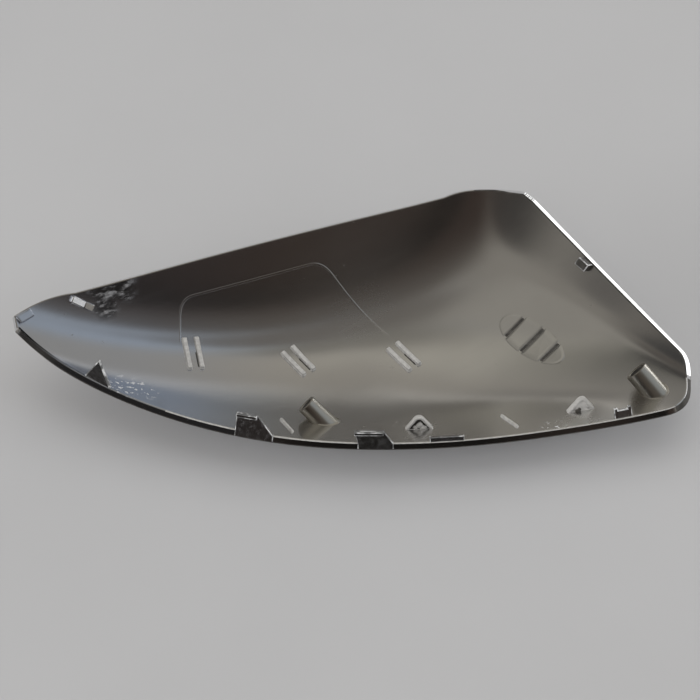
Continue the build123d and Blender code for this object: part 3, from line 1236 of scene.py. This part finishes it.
@dataclass
class Plate:
    """A flat plate that stands on the skin, given by its side view."""

    seat: Seat
    profile: Sequence[Pair]
    inner: float
    outer: float
    lean: float = 4.0
    edge: float = 0.3
    slot: Face = Face.INSIDE
    # Rounded edges take painted highlights unless another slot is given.
    edge_slot: Face = Face.EDGE
    edge_steps: int = 3
    crisp: float = 25.0

    def draw(self, draft: MeshDraft) -> None:
        """Adds the plate with its outer face leaning back and its edges rounded, but for the buried foot.

        Args:
            draft: Mesh that the plate is added to.
        """
        edit = bmesh.new()
        along, up = np.array(self.profile).T
        face_out = self.outer - up * math.tan(math.radians(self.lean))
        front = [edit.verts.new(p) for p in self.seat.points(along, up, face_out)]
        back = [edit.verts.new(p) for p in self.seat.points(along, up, np.array(self.inner))]
        size = len(front)
        edit.faces.new(front)
        edit.faces.new(back[::-1])
        for i in range(size):
            j = (i + 1) % size
            edit.faces.new((front[j], front[i], back[i], back[j]))
        bmesh.ops.recalc_face_normals(edit, faces=edit.faces)
        for face in edit.faces:
            face.material_index = self.slot.value
        buried = {vertex for vertex, height in zip(front + back, (*up, *up)) if height < 0}
        crisp = [
            edge for edge in edit.edges
            if edge.calc_face_angle(0.0) > math.radians(self.crisp) and not buried.issuperset(edge.verts)
        ]
        bmesh.ops.bevel(
            edit, geom=crisp, offset=self.edge, segments=self.edge_steps, profile=0.5, affect="EDGES",
            clamp_overlap=True, material=self.edge_slot.value,
        )
        edit.verts.index_update()
        start = draft.add(np.array([v.co for v in edit.verts]))
        for face in edit.faces:
            draft.link([[start + v.index for v in face.verts]], Face(face.material_index))
        edit.free()


@dataclass
class ClipTabs:
    """Tabs along the near edge, the stop on the end wall, the gusset at the tip and the chipped corner.

    Places are shares of an edge; the methods name the parts of each size.
    """

    thickness: float = 1.6
    inset: float = 0.3
    root: float = 0.8
    hook_inset: float = -0.3
    hook_root: float = 2.0
    lip: float = 1.3
    lip_overlap: float = 0.4
    steep: float = 9.0
    broad_edge: float = 0.5
    wedge_at: float = 0.147
    wedge_size: Triple = (10.6, 7.8, 2.1)
    hook_at: float = 0.396
    hook_size: Triple = (13.6, 7.4, 6.5)
    catch_at: float = 0.574
    catch_size: Triple = (12.4, 9.0, 4.5)
    catch_undercut: float = 1.2
    bar_at: float = 0.678
    bar_size: Pair = (12.0, 1.5)
    fork_at: float = 0.94
    fork_size: Triple = (6.3, 3.5, 1.4)
    fork_notch: float = 0.75
    fork_inset: float = 0.9
    stop_at: float = 0.625
    stop_size: Triple = (4.7, 3.4, 3.2)
    stop_inset: float = 0.8
    gusset: tuple[Pair, float] = (PLAN.at(-41.4, 8.3), -26.0)
    gusset_size: Triple = (8.8, 3.0, 2.6)
    gusset_highlight: float = 0.6
    chip_seed: int = 11
    chip_count: int = 7
    chip_span: Pair = (0.05, 0.95)
    chip_size: float = 0.45
    chip_drop: float = 0.2
    chip_heading: float = 40.0

    def block(self, seat: Seat, width: float, height: float, depth: float, slot: Face = Face.INSIDE) -> Plate:
        """A plain upright plate.

        Args:
            seat: Where it stands.
            width: Its length along the seat.
            height: How far it stands up.
            depth: Its thickness.
            slot: Material slot of its faces.

        Returns:
            The plate.
        """
        half = width / 2
        side = ((-half, -self.root), (half, -self.root), (half, height), (-half, height))
        return Plate(seat, side, -depth, 0.0, slot=slot)

    def wedge(self) -> Plate:
        """A three-cornered tab with its point toward the tip.

        Returns:
            The plate.
        """
        foot, height, lead = self.wedge_size
        half = foot / 2
        side = ((-half, -self.root), (half, -self.root), (half, 0.0), (-lead, height), (-half, 0.0))
        seat = Seat.near(self.wedge_at, self.inset)
        return Plate(seat, side, -self.thickness, 0.0, edge=self.broad_edge)

    def hooked(self, share: float, size: Triple, undercut: float) -> list[Plate]:
        """A hook: a plate with one steep end and one sloping end, and its lip.

        Args:
            share: Where it stands along the near edge.
            size: Lengths of its foot and of its top, and its height.
            undercut: How far its steep end leans out.

        Returns:
            The plate and the lip.
        """
        seat, (foot, top, height) = Seat.near(share, self.hook_inset), size
        half, under = foot / 2, height - self.lip
        left, right = -half - undercut, top - half
        foot_line = ((-half, -self.hook_root), (half, -self.hook_root))
        side = (*foot_line, (half, 0.0), (right, height), (left, height), (-half, 0.0))
        lip = ((left, under), (right, under), (right, height), (left, height))
        return [Plate(seat, side, -self.thickness, 0.0), Plate(seat, lip, -self.lip_overlap, self.lip)]

    def forked(self) -> Plate:
        """A tab with a notch in its top.

        Returns:
            The plate.
        """
        width, height, post = self.fork_size
        half, notch = width / 2, height * self.fork_notch
        side = (
            (-half, -self.hook_root), (half, -self.hook_root), (half, height), (half - post, height),
            (half - post, notch), (post - half, notch), (post - half, height), (-half, height),
        )
        return Plate(Seat.near(self.fork_at, self.fork_inset), side, -self.thickness, 0.0, self.steep)

    def gussets(self) -> list[Plate]:
        """The two halves of the sloping gusset, the upper one painted white as a highlight.

        Returns:
            The plates.
        """
        length, rise, width = self.gusset_size
        seat, half = Seat.on_skin(*self.gusset), width / 2
        bright, left = length * self.gusset_highlight, rise * (1 - self.gusset_highlight)
        upper = ((0.0, -self.root), (bright, -self.root), (bright, left), (0.0, rise))
        lower = ((bright, -self.root), (length, -self.root), (length, 0.0), (bright, left))
        # The upper half takes the painted highlight facet.
        halves = ((upper, Face.FACET), (lower, Face.INSIDE))
        return [Plate(seat, side, -half, half, slot=slot, edge_slot=Face.INSIDE) for side, slot in halves]

    def plates(self) -> list[Plate]:
        """All the tabs, as plates.

        Returns:
            The plates, in the order they are drawn in.
        """
        stop = Seat.on_edge(RIM.end(), self.stop_at, self.stop_inset)
        plates = [self.wedge(), self.forked(), *self.gussets()]
        plates += self.hooked(self.hook_at, self.hook_size, 0.0)
        plates += self.hooked(self.catch_at, self.catch_size, self.catch_undercut)
        plates.append(self.block(Seat.near(self.bar_at, self.inset), *self.bar_size, self.thickness))
        # The stop is painted dark, a painted dark reflection.
        plates.append(self.block(stop, *self.stop_size, Face.RECESS))
        return plates

    def chips(self, draft: MeshDraft) -> None:
        """Adds the ragged bits along the broken corner of the roof's end.

        Args:
            draft: Mesh that the bits are added to.
        """
        jitter = np.random.default_rng(self.chip_seed)
        start, stop = np.array(RIM.chip_in), np.array(RIM.chip_out)
        for index, share in enumerate(np.linspace(*self.chip_span, self.chip_count)):
            seat = Seat.on_skin(tuple(start + share * (stop - start)), self.chip_heading)
            # Odd chips take painted shade and even ones the painted edge highlight.
            slot = Face.RECESS if index % 2 else Face.EDGE
            Lump((0.0, -self.chip_drop, 0.0), self.chip_size, slot).draw(draft, seat, jitter)

    def build(self) -> bpy.types.Object:
        """Draws the tabs as one mesh, with flat faces shaded flat.

        Returns:
            The piece.
        """
        draft = MeshDraft()
        for plate in self.plates():
            plate.draw(draft)
        self.chips(draft)
        piece = draft.build("clip_tabs")
        piece.modifiers.new("flat_faces", "WEIGHTED_NORMAL").keep_sharp = True
        return piece


@dataclass
class Hoods:
    """Two gabled hoods on the near wall, one open in front and one filled.

    Torn bits are given by their places along and up, and their size.
    """

    width: float = 9.8
    peak: float = 5.8
    apex: float = 2.2
    arch_steps: int = 17
    sides: int = 96
    wall: float = 0.9
    depth: float = 2.2
    hollow: float = 1.3
    inset: float = 8.5
    root: float = 0.8
    edge: float = 0.25
    edge_round: float = 0.3
    back_ring: float = 0.6
    recess_from: int = 5
    crisp: float = 50.0
    open_at: float = 0.64
    filled_at: float = 0.885
    filled_peak: float = 4.6
    fill_lean: float = 24.0
    fill_skew: float = 1.6
    torn_seed: int = 7
    flake: tuple[Triple, ...] = ((-1.3, 0.5, 1.0), (0.2, 1.3, 1.25), (1.1, 0.3, 1.1), (2.1, 0.4, 0.7))
    flake_back: float = 0.7
    notch: tuple[Triple, ...] = ((-1.2, 0.1, 1.0), (-0.5, 0.9, 0.6))

    def gable(self, peak: float) -> Array:
        """Side view of a hood, with its peak rounded.

        Args:
            peak: Height of the hood before the rounding.

        Returns:
            Points around it, anticlockwise.
        """
        half = self.width / 2
        lean = math.atan2(half, peak)
        middle = peak - self.apex / math.sin(lean)
        turns = np.linspace(lean, math.pi - lean, self.arch_steps)
        arch = np.stack([self.apex * np.cos(turns), middle + self.apex * np.sin(turns)], -1)
        foot = [(half, -self.root), (half, 0.0)], [(-half, 0.0), (-half, -self.root)]
        return even_loop(np.concatenate([foot[0], arch, foot[1]]), self.sides)

    def draw(
        self, draft: MeshDraft, share: float, peak: float, hollow: float, lean: float = 0.0, skew: float = 0.0
    ) -> None:
        """Adds a hood.

        Args:
            draft: Mesh that the hood is added to.
            share: Where it stands along the near edge.
            peak: Its height.
            hollow: Depth of the hollow in its outer side.
            lean: How far its outer side leans back, in degrees.
            skew: How far its peak is bent toward the end.
        """
        seat, loop = Seat.near(share, self.inset), self.gable(peak)
        away, slope = outward(loop), math.tan(math.radians(lean))
        edge, wall, bend = self.edge, self.wall, self.edge * self.edge_round
        rings = []
        for inset, back in (
            (0.0, self.depth), (0.0, edge), (bend, bend), (edge, 0.0),
            (wall - edge, 0.0), (wall, edge), (wall, hollow), (wall + self.back_ring, hollow),
        ):
            along, up = (loop - inset * away).T
            rise = np.maximum(up, 0.0)
            rings.append(seat.points(along + skew * rise / peak, up, -back - slope * rise))
        # The hood takes painted sheen, and the open hood's hollow painted shade.
        draft.tube(rings, Face.DULL, deep=self.recess_from if hollow > wall else None)

    def crumple(self, draft: MeshDraft) -> None:
        """Adds the torn flake in the open hood and the torn notch in the filled one.

        Args:
            draft: Mesh that the torn bits are added to.
        """
        jitter = np.random.default_rng(self.torn_seed)
        # The open hood's flake takes painted sheen and the filled hood's notch painted shade.
        for share, bits, out, slot in (
            (self.open_at, self.flake, -self.flake_back, Face.DULL),
            (self.filled_at, self.notch, 0.0, Face.RECESS),
        ):
            seat = Seat.near(share, self.inset)
            for along, up, size in bits:
                Lump((along, up, out), size, slot).draw(draft, seat, jitter)

    def build(self) -> bpy.types.Object:
        """Draws both hoods as one mesh.

        Returns:
            The piece.
        """
        draft = MeshDraft()
        self.draw(draft, self.open_at, self.peak, self.hollow)
        self.draw(draft, self.filled_at, self.filled_peak, self.edge, self.fill_lean, self.fill_skew)
        self.crumple(draft)
        return draft.build("hoods", sharp=self.crisp)


@dataclass
class FloorRelief:
    """Low relief on the inner skin: ribs, stubs, the slotted oval, the ledge and the bead.

    A place comes with the heading of its length. The flare gives spreads and
    lifts of an edge's foot, and the painted shade's length and place are in shares.
    """

    edge: float = 0.3
    corner: float = 0.3
    corner_steps: int = 4
    steps_in_mm: float = 1.5
    flare: tuple[Pair, ...] = ((1.2, -1.2), (0.6, 0.07), (0.13, 0.45), (0.0, 1.0))
    top_rings: Pair = (0.66, 0.33)
    crisp: float = 60.0
    # Dark islands that paint shade: the slots' floors and the lines beside the ribs.
    dark_height: float = 0.06
    dark_edge: float = 0.03
    rib_width: float = 1.6
    rib_height: float = 1.1
    rib_spacing: float = 4.4
    rib_length: float = 13.0
    shade_width: float = 0.8
    shade_length: float = 0.5
    shade_back: float = 0.18
    shade_aside: float = 0.55
    stub_length: float = 9.2
    stub_width: float = 0.9
    stub_height: float = 0.7
    ribs: tuple[tuple[Pair, float], ...] = (
        (PLAN.at(-23.5, -3.5), 101.5), (PLAN.at(-7.8, -3.2), 128.5), (PLAN.at(8.1, -1.0), 128.5),
    )
    stubs: tuple[tuple[Pair, float], ...] = ((PLAN.at(-9.2, -36.3), 118.0), (PLAN.at(23.2, -35.3), 124.0))
    pad: tuple[Pair, float] = (PLAN.at(27.4, 2.5), -45.0)
    pad_size: Triple = (29.0, 13.2, 0.13)
    pad_edge: float = 0.1
    pad_points: int = 80
    bands: int = 4
    slot_spacing: float = 8.5
    slot_width: float = 1.4
    slot_gap: float = 0.3
    bead: tuple[Pair, ...] = ((-61.3, -0.4), (-61.3, 14.0), (-10.0, 30.5), (15.5, 7.0))
    bead_width: float = 0.7
    bead_height: float = 0.10
    bead_corner: float = 5.0
    bead_sides: int = 9
    bead_steps: int = 120
    bead_fade: int = 5
    bead_sunk: float = 0.02
    bead_foot: Pair = (0.9, 0.25)
    ledge: tuple[Pair, float] = (PLAN.at(-48.0, 0.5), 42.0)
    ledge_size: Triple = (6.0, 2.6, 1.1)

    def island(
        self, draft: MeshDraft, loop: Array, height: float, edge: float, slot: Face = Face.INSIDE
    ) -> None:
        """Adds a raised patch of the skin with a rounded edge.

        Args:
            draft: Mesh that the patch is added to.
            loop: Plan outline of the patch, anticlockwise.
            height: How far its top stands off the skin.
            edge: Radius of its edge.
            slot: Material slot of the patch.
        """
        away, centre = outward(loop), loop.mean(0)
        rings = [(loop + wide * edge * away, min(lift * edge, height - edge)) for wide, lift in self.flare]
        for turn in np.linspace(0, math.pi / 2, self.corner_steps):
            inset = edge * (1 - math.cos(turn))
            rings.append((loop - inset * away, height - edge + edge * math.sin(turn)))
        rings += [(centre + (loop - edge * away - centre) * share, height) for share in self.top_rings]
        draft.tube([SKIN.points(plan) + lift * SKIN.normals(plan) for plan, lift in rings], slot)

    def bar(self, place: Pair, heading: float, length: float, width: float) -> Array:
        """Plan outline of a bar with slightly rounded corners.

        Args:
            place: Plan position of its middle.
            heading: Heading of its length, in degrees.
            length: Its length.
            width: Its width.

        Returns:
            Points around it, anticlockwise.
        """
        half, side, corner = length / 2, width / 2, self.corner
        turns = np.linspace(0, math.pi / 2, self.corner_steps)
        quarter = corner * np.stack([np.cos(turns), np.sin(turns)], -1)
        corners = []
        for sx, sy in ((1, -1), (1, 1), (-1, 1), (-1, -1)):
            turned = quarter * (sx, sy) + (sx * (half - corner), sy * (side - corner))
            corners.append(turned if sx * sy > 0 else turned[::-1])
        rough = np.concatenate(corners)
        loop = []
        for span in zip(rough, np.roll(rough, -1, 0)):
            count = max(2, int(np.linalg.norm(span[1] - span[0]) * self.steps_in_mm))
            loop.append(even_steps(np.stack(span), count)[:-1])
        return laid(np.concatenate(loop), place, heading)

    def pad_bands(self) -> list[Array]:
        """Plan outlines of the bands that the slots leave of the oval.

        Returns:
            One outline a band.
        """
        half, side, gap = self.pad_size[0] / 2, self.pad_size[1] / 2, self.slot_width / 2
        loops = []
        for index in range(-self.bands // 2, self.bands // 2):
            low = max(index * self.slot_spacing + gap, -half)
            high = min((index + 1) * self.slot_spacing - gap, half)
            s = np.linspace(low, high, self.pad_points // 4)
            t = side * np.sqrt(np.maximum(1 - (s / half) ** 2, 0.0))
            curve = np.concatenate([np.stack([s, -t], -1), np.stack([s, t], -1)[::-1]])
            loops.append(laid(even_loop(curve, self.pad_points), *self.pad))
        return loops

    def slot_floors(self) -> list[Array]:
        """Plan outlines of the painted shade on the floors of the oval's slots.

        Returns:
            One outline a slot.
        """
        (place, heading), (length, width, _) = self.pad, self.pad_size
        loops = []
        for index in range(1 - self.bands // 2, self.bands // 2):
            along = index * self.slot_spacing
            across = width * math.sqrt(1 - (2 * along / length) ** 2)
            spot = tuple(np.array(place) + along * compass(heading)[:2])
            size = across - self.slot_width, self.slot_width - self.slot_gap
            loops.append(self.bar(spot, heading + 90, *size))
        return loops

    def bead_path(self) -> Array:
        """Plan points along the bead, with its corners rounded.

        Returns:
            Points at even steps.
        """
        points = np.array(self.bead)
        path = [points[:1]]
        share = np.linspace(0, 1, self.bead_sides)[:, None]
        for before, corner, after in zip(points[:-2], points[1:-1], points[2:]):
            start = corner + self.bead_corner * unit(before - corner)
            stop = corner + self.bead_corner * unit(after - corner)
            path.append((1 - share) ** 2 * start + 2 * share * (1 - share) * corner + share**2 * stop)
        path.append(points[-1:])
        return even_steps(np.concatenate(path), self.bead_steps)

    def draw_bead(self, draft: MeshDraft) -> None:
        """Adds the raised line on the floor, which fades out at both ends.

        Args:
            draft: Mesh that the bead is added to.
        """
        path = self.bead_path()
        aside = left_of(unit(np.gradient(path, axis=0)))
        steps = np.arange(len(path))
        full = np.minimum(np.minimum(steps, steps[::-1]) / self.bead_fade, 1.0)
        turns = np.linspace(0, math.pi, self.bead_sides)
        foot, depth = self.bead_foot
        across = np.concatenate([np.cos(turns), [-foot, foot]]) * self.bead_width / 2
        rings = []
        for place, side, share in zip(path, aside, full):
            arch = share * self.bead_height * np.sin(turns) - self.bead_sunk
            lift = np.concatenate([arch, [-depth, -depth]])
            plan = place + across[:, None] * side
            rings.append(SKIN.points(plan) + lift[:, None] * SKIN.normals(plan))
        draft.tube(rings)

    def draw_ribs(self, draft: MeshDraft) -> None:
        """Adds the pairs of ribs in painted sheen, with a line of painted shade between the ribs of a pair.

        Args:
            draft: Mesh that the ribs are added to.
        """
        for place, heading in self.ribs:
            middle, run = np.array(place), compass(heading)[:2]
            aside = left_of(run) * self.rib_spacing / 2
            gap = middle - self.shade_aside * aside - self.shade_back * self.rib_length * run
            shade = self.bar(tuple(gap), heading, self.shade_length * self.rib_length, self.shade_width)
            self.island(draft, shade, self.dark_height, self.dark_edge, Face.RECESS)
            for spot in (middle - aside, middle + aside):
                bar = self.bar(tuple(spot), heading, self.rib_length, self.rib_width)
                self.island(draft, bar, self.rib_height, self.edge, Face.DULL)

    def build(self) -> bpy.types.Object:
        """Draws the relief as one mesh.

        Returns:
            The piece.
        """
        draft = MeshDraft()
        self.draw_bead(draft)
        # The slots' floors get painted shade.
        for loop in self.slot_floors():
            self.island(draft, loop, self.dark_height, self.dark_edge, Face.RECESS)
        self.draw_ribs(draft)
        # Stubs take painted sheen.
        for stub in self.stubs:
            bar = self.bar(*stub, self.stub_length, self.stub_width)
            self.island(draft, bar, self.stub_height, self.edge, Face.DULL)
        for loop in self.pad_bands():
            self.island(draft, loop, self.pad_size[2], self.pad_edge)
        length, width, height = self.ledge_size
        self.island(draft, self.bar(*self.ledge, length, width), height, self.edge)
        return draft.build("floor_relief", sharp=self.crisp)


@dataclass(frozen=True)
class Boss:
    """A leaning tube with a blind bore.

    It leans from upright toward its heading, in degrees. The foot gives how far
    its rings spread and how far they are lifted off the skin.
    """

    place: Pair
    radius: float
    bore: float
    height: float
    lean: float
    heading: float
    floor: float = 1.5
    edge: float = 0.3
    edge_steps: int = 4
    sides: int = 56
    foot: tuple[Pair, ...] = ((0.5, -0.5), (0.5, 0.0), (0.15, 0.2), (0.0, 0.55))
    search: Pair = (-2.0, 4.0)
    halvings: int = 40

    def draw(self, draft: MeshDraft) -> None:
        """Adds the tube to a draft.

        Args:
            draft: Mesh that the tube is added to.
        """
        lean, upright = math.radians(self.lean), np.array([0, 0, 1.0])
        axis = compass(self.heading) * math.sin(lean) + upright * math.cos(lean)
        mouth = SKIN.points(np.array(self.place)) + axis * self.height
        side = unit(np.cross(axis, upright))
        turns = np.linspace(0, 2 * math.pi, self.sides, endpoint=False)
        around = np.cos(turns)[:, None] * side + np.sin(turns)[:, None] * np.cross(axis, side)

        def ring(radius: float, depth: Union[float, Array]) -> Array:
            """Ring around the axis, at a depth under the mouth."""
            return mouth + radius * around - depth * axis

        def landing(radius: float, lift: float) -> Array:
            """Ring where a tube of this radius meets the skin.

            Args:
                radius: Radius of the ring.
                lift: How far it is lifted off the skin, along the axis.

            Returns:
                Points of the ring.
            """
            near, far = (np.full(self.sides, share * self.height) for share in self.search)
            for _ in range(self.halvings):
                middle = (near + far) / 2
                points = ring(radius, middle[:, None])
                above = points[:, 2] > SKIN.height(points[:, 0], points[:, 1])
                near, far = np.where(above, middle, near), np.where(above, far, middle)
            return ring(radius, ((near + far) / 2 - lift)[:, None])

        rings = [landing(self.radius + spread, lift) for spread, lift in self.foot]
        edge, depth = self.edge, self.height - self.floor
        bends = np.linspace(0, math.pi / 2, self.edge_steps)
        rings += [ring(self.radius - edge * (1 - math.cos(b)), edge * (1 - math.sin(b))) for b in bends]
        rings += [ring(self.bore + edge * (1 - math.sin(b)), edge * (1 - math.cos(b))) for b in bends]
        deep = len(rings) - 1
        rings += [ring(self.bore, depth - edge), ring(self.bore - edge, depth), ring(self.bore / 2, depth)]
        # The bore's walls and floor take painted shade.
        draft.tube(rings, deep=deep)


@dataclass
class ScrewBosses:
    """The two leaning tubes, one in the corner and one on the near wall."""

    corner: Boss = Boss(PLAN.at(44.3, -24.6), 4.2, 3.1, 9.2, 60.5, 139.5)
    side: Boss = Boss(PLAN.at(-3.9, -32.3), 3.6, 2.3, 8.5, 58.5, 147.0)

    def build(self) -> bpy.types.Object:
        """Draws both tubes as one mesh.

        Returns:
            The piece.
        """
        draft = MeshDraft()
        for boss in (self.corner, self.side):
            boss.draw(draft)
        return draft.build("screw_bosses")


def dress(piece: bpy.types.Object, finishes: dict[Face, bpy.types.Material]) -> None:
    """Gives a piece its finishes and its place in the frame.

    Args:
        piece: The piece.
        finishes: Material of every slot.
    """
    for face in Face:
        piece.data.materials.append(finishes[face])
    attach(piece, BODY)


@dataclass(frozen=True)
class Glow:
    """A soft patch of the room: where it is, how wide it is and its level.

    Angles are degrees; azimuth is from straight beyond the cover, clockwise.
    """

    azimuth: float
    elevation: float
    ends: float
    full: float
    colour: Triple

    def direction(self) -> Triple:
        """Direction toward the middle of the patch."""
        turn, lift = math.radians(self.azimuth), math.radians(self.elevation)
        return (math.sin(turn) * math.cos(lift), math.cos(turn) * math.cos(lift), math.sin(lift))

    def reach(self) -> Pair:
        """Cosines where the patch ends and where it is full."""
        return (math.cos(math.radians(self.ends)), math.cos(math.radians(self.full)))


@dataclass(frozen=True)
class Lamp:
    """A broad soft lamp, turned toward the cover."""

    name: str
    place: Triple
    size: Pair
    power: float
    mirrored: bool = False

    def hang(self) -> None:
        """Adds the lamp; only a mirrored one shows in the chrome."""
        data = bpy.data.lights.new(self.name, "AREA")
        data.shape = "RECTANGLE"
        data.size, data.size_y = self.size
        data.energy = self.power
        lamp = linked(self.name, data)
        lamp.location = self.place
        lamp.rotation_euler = (-Vector(self.place)).to_track_quat("-Z", "Y").to_euler()
        lamp.visible_glossy = self.mirrored


@dataclass
class Studio:
    """Table, soft light and the camera of the photograph.

    Glows are laid over the room's colour in order. The table is in metres, the
    elevation is degrees, and the camera's distance and sensor are millimetres.
    """

    room: Triple = (0.25, 0.235, 0.21)
    glows: tuple[Glow, ...] = (
        Glow(70, 52, 58, 20, (0.34, 0.365, 0.385)),
        Glow(15, 34, 46, 18, (0.33, 0.31, 0.275)),
        Glow(-20, 56, 20, 8, (0.42, 0.40, 0.35)),
        Glow(4, 0, 18, 9, (0.122, 0.135, 0.155)),
        Glow(7, 20, 15, 5, (0.55, 0.53, 0.49)),
        Glow(-28, 40, 17, 6, (0.17, 0.162, 0.148)),
        Glow(-11, 28, 10, 4, (0.19, 0.18, 0.165)),
        Glow(120, 84, 20, 11, (0.140, 0.130, 0.118)),
        Glow(8, 73, 15, 6, (0.18, 0.17, 0.15)),
        Glow(-85, 68, 22, 8, (0.30, 0.285, 0.255)),
        Glow(-38, 48, 16, 4, (0.13, 0.125, 0.11)),
        Glow(-44, 46, 13, 6, (0.035, 0.034, 0.034)),
        Glow(-72, 41, 14, 7, (0.030, 0.029, 0.030)),
        Glow(-70, 20, 40, 15, (0.10, 0.09, 0.08)),
        Glow(-90, 29, 11, 4, (0.04, 0.04, 0.041)),
        Glow(-115, 24, 10, 4, (0.10, 0.095, 0.09)),
        Glow(-146, 27, 13, 6, (0.05, 0.047, 0.045)),
        Glow(130, 78, 20, 9, (0.142, 0.13, 0.117)),
        Glow(160, 48, 28, 10, (0.095, 0.084, 0.074)),
        Glow(178, 8, 48, 30, (0.042, 0.031, 0.026)),
        Glow(158, 31, 8, 3, (0.012, 0.011, 0.010)),
        Glow(180, 2, 26, 14, (0.010, 0.009, 0.008)),
        Glow(-142, 11, 22, 13, (0.018, 0.017, 0.017)),
    )
    lamps: tuple[Lamp, ...] = (
        Lamp("overhead", (0.1, 0.7, 1.9), (2.6, 2.6), 17.0),
        Lamp("front", (-0.1, -1.7, 1.4), (2.4, 2.4), 10.5),
        Lamp("left", (-1.9, -0.4, 0.5), (1.6, 0.8), 22.0),
        Lamp("right", (1.9, -0.3, 0.7), (1.6, 1.0), 10.0),
        Lamp("window", (1.31, 1.31, 0.28), (2.8, 0.5), 8.2, True),
    )
    table_half: float = 3.0
    elevation: float = 58.0
    distance: float = 850.0
    pixels_per_mm: float = 2.84
    frame_pixels: float = 700.0
    aim_below: float = 30.0
    sensor: float = 36.0
    sight: float = 20.0

    def table(self, finish: bpy.types.Material) -> None:
        """Puts the pale table top under the cover.

        Args:
            finish: Its material.
        """
        half = self.table_half
        mesh = bpy.data.meshes.new("table")
        corners = [(-half, -half, 0), (half, -half, 0), (half, half, 0), (-half, half, 0)]
        mesh.from_pydata(corners, [], [(0, 1, 2, 3)])
        mesh.materials.append(finish)
        table = linked("table", mesh)

    def camera(self) -> None:
        """Puts the camera where the photograph was taken from."""
        lift = math.radians(self.elevation)
        toward = np.array([0, -math.cos(lift), math.sin(lift)])
        up = np.array([0, math.sin(lift), math.cos(lift)])
        target = np.array([0, -self.aim_below / self.pixels_per_mm / math.sin(lift), 0])
        data = bpy.data.cameras.new("camera")
        data.sensor_width = self.sensor
        data.lens = self.sensor * self.pixels_per_mm * self.distance / self.frame_pixels
        data.clip_end = self.sight
        camera = linked("camera", data)
        axes = POSE.turn() @ np.stack([np.array([1.0, 0, 0]), up, toward], 1)
        place = POSE.place(target + self.distance * toward)
        camera.matrix_world = Matrix.Translation(place) @ Matrix(axes).to_4x4()
        bpy.context.scene.camera = camera

    def light(self) -> None:
        """Sets the soft light all round, and hangs the lamps."""
        scene = bpy.context.scene
        scene.view_settings.view_transform = "Standard"
        world = bpy.data.worlds.new("studio")
        scene.world = world
        world.use_nodes = True
        net = Net(world.node_tree)
        look = net.node("ShaderNodeTexCoord", {}, {}, "Generated")
        colour: Colour = self.room
        for glow in self.glows:
            share = net.toward(look, glow.direction()).ease(*glow.reach())
            colour = net.blend(share, colour, glow.colour)
        net.feed(world.node_tree.nodes["Background"].inputs["Color"], colour)
        for lamp in self.lamps:
            lamp.hang()


def main() -> None:
    """Builds the cover's pieces in order and sets the stage."""
    logging.basicConfig(level=logging.INFO, format="%(name)s: %(message)s")
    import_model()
    inside, outside = INNER_CHROME.material(), OUTER_CHROME.material()
    own = {ClipTabs: TAB_CHROME.material(), ScrewBosses: BOSS_CHROME.material()}
    # recess paints shade, dull paints sheen, edge paints edge highlights and facet paints the gusset's
    # highlight.
    recess, dull, edge, facet = (f.material() for f in (ShadePaint(), SHEEN_PAINT, EDGE_HIGHLIGHT_PAINT, HIGHLIGHT_FACET_PAINT))
    finishes = {
        Face.INSIDE: inside, Face.OUTSIDE: outside, Face.RECESS: recess,
        Face.DULL: dull, Face.EDGE: edge, Face.FACET: facet,
    }
    for part in (CoverShell(), ClipTabs(), Hoods(), FloorRelief(), ScrewBosses()):
        piece = part.build()
        dress(piece, finishes | {Face.INSIDE: own.get(type(part), inside)})
        if isinstance(part, CoverShell):
            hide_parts(NODE)
        LOG.info("%s: %d faces", piece.name, len(piece.data.polygons))
    studio = Studio()
    studio.table(TablePaint().material())
    studio.light()
    studio.camera()


if __name__ == "__main__":
    main()
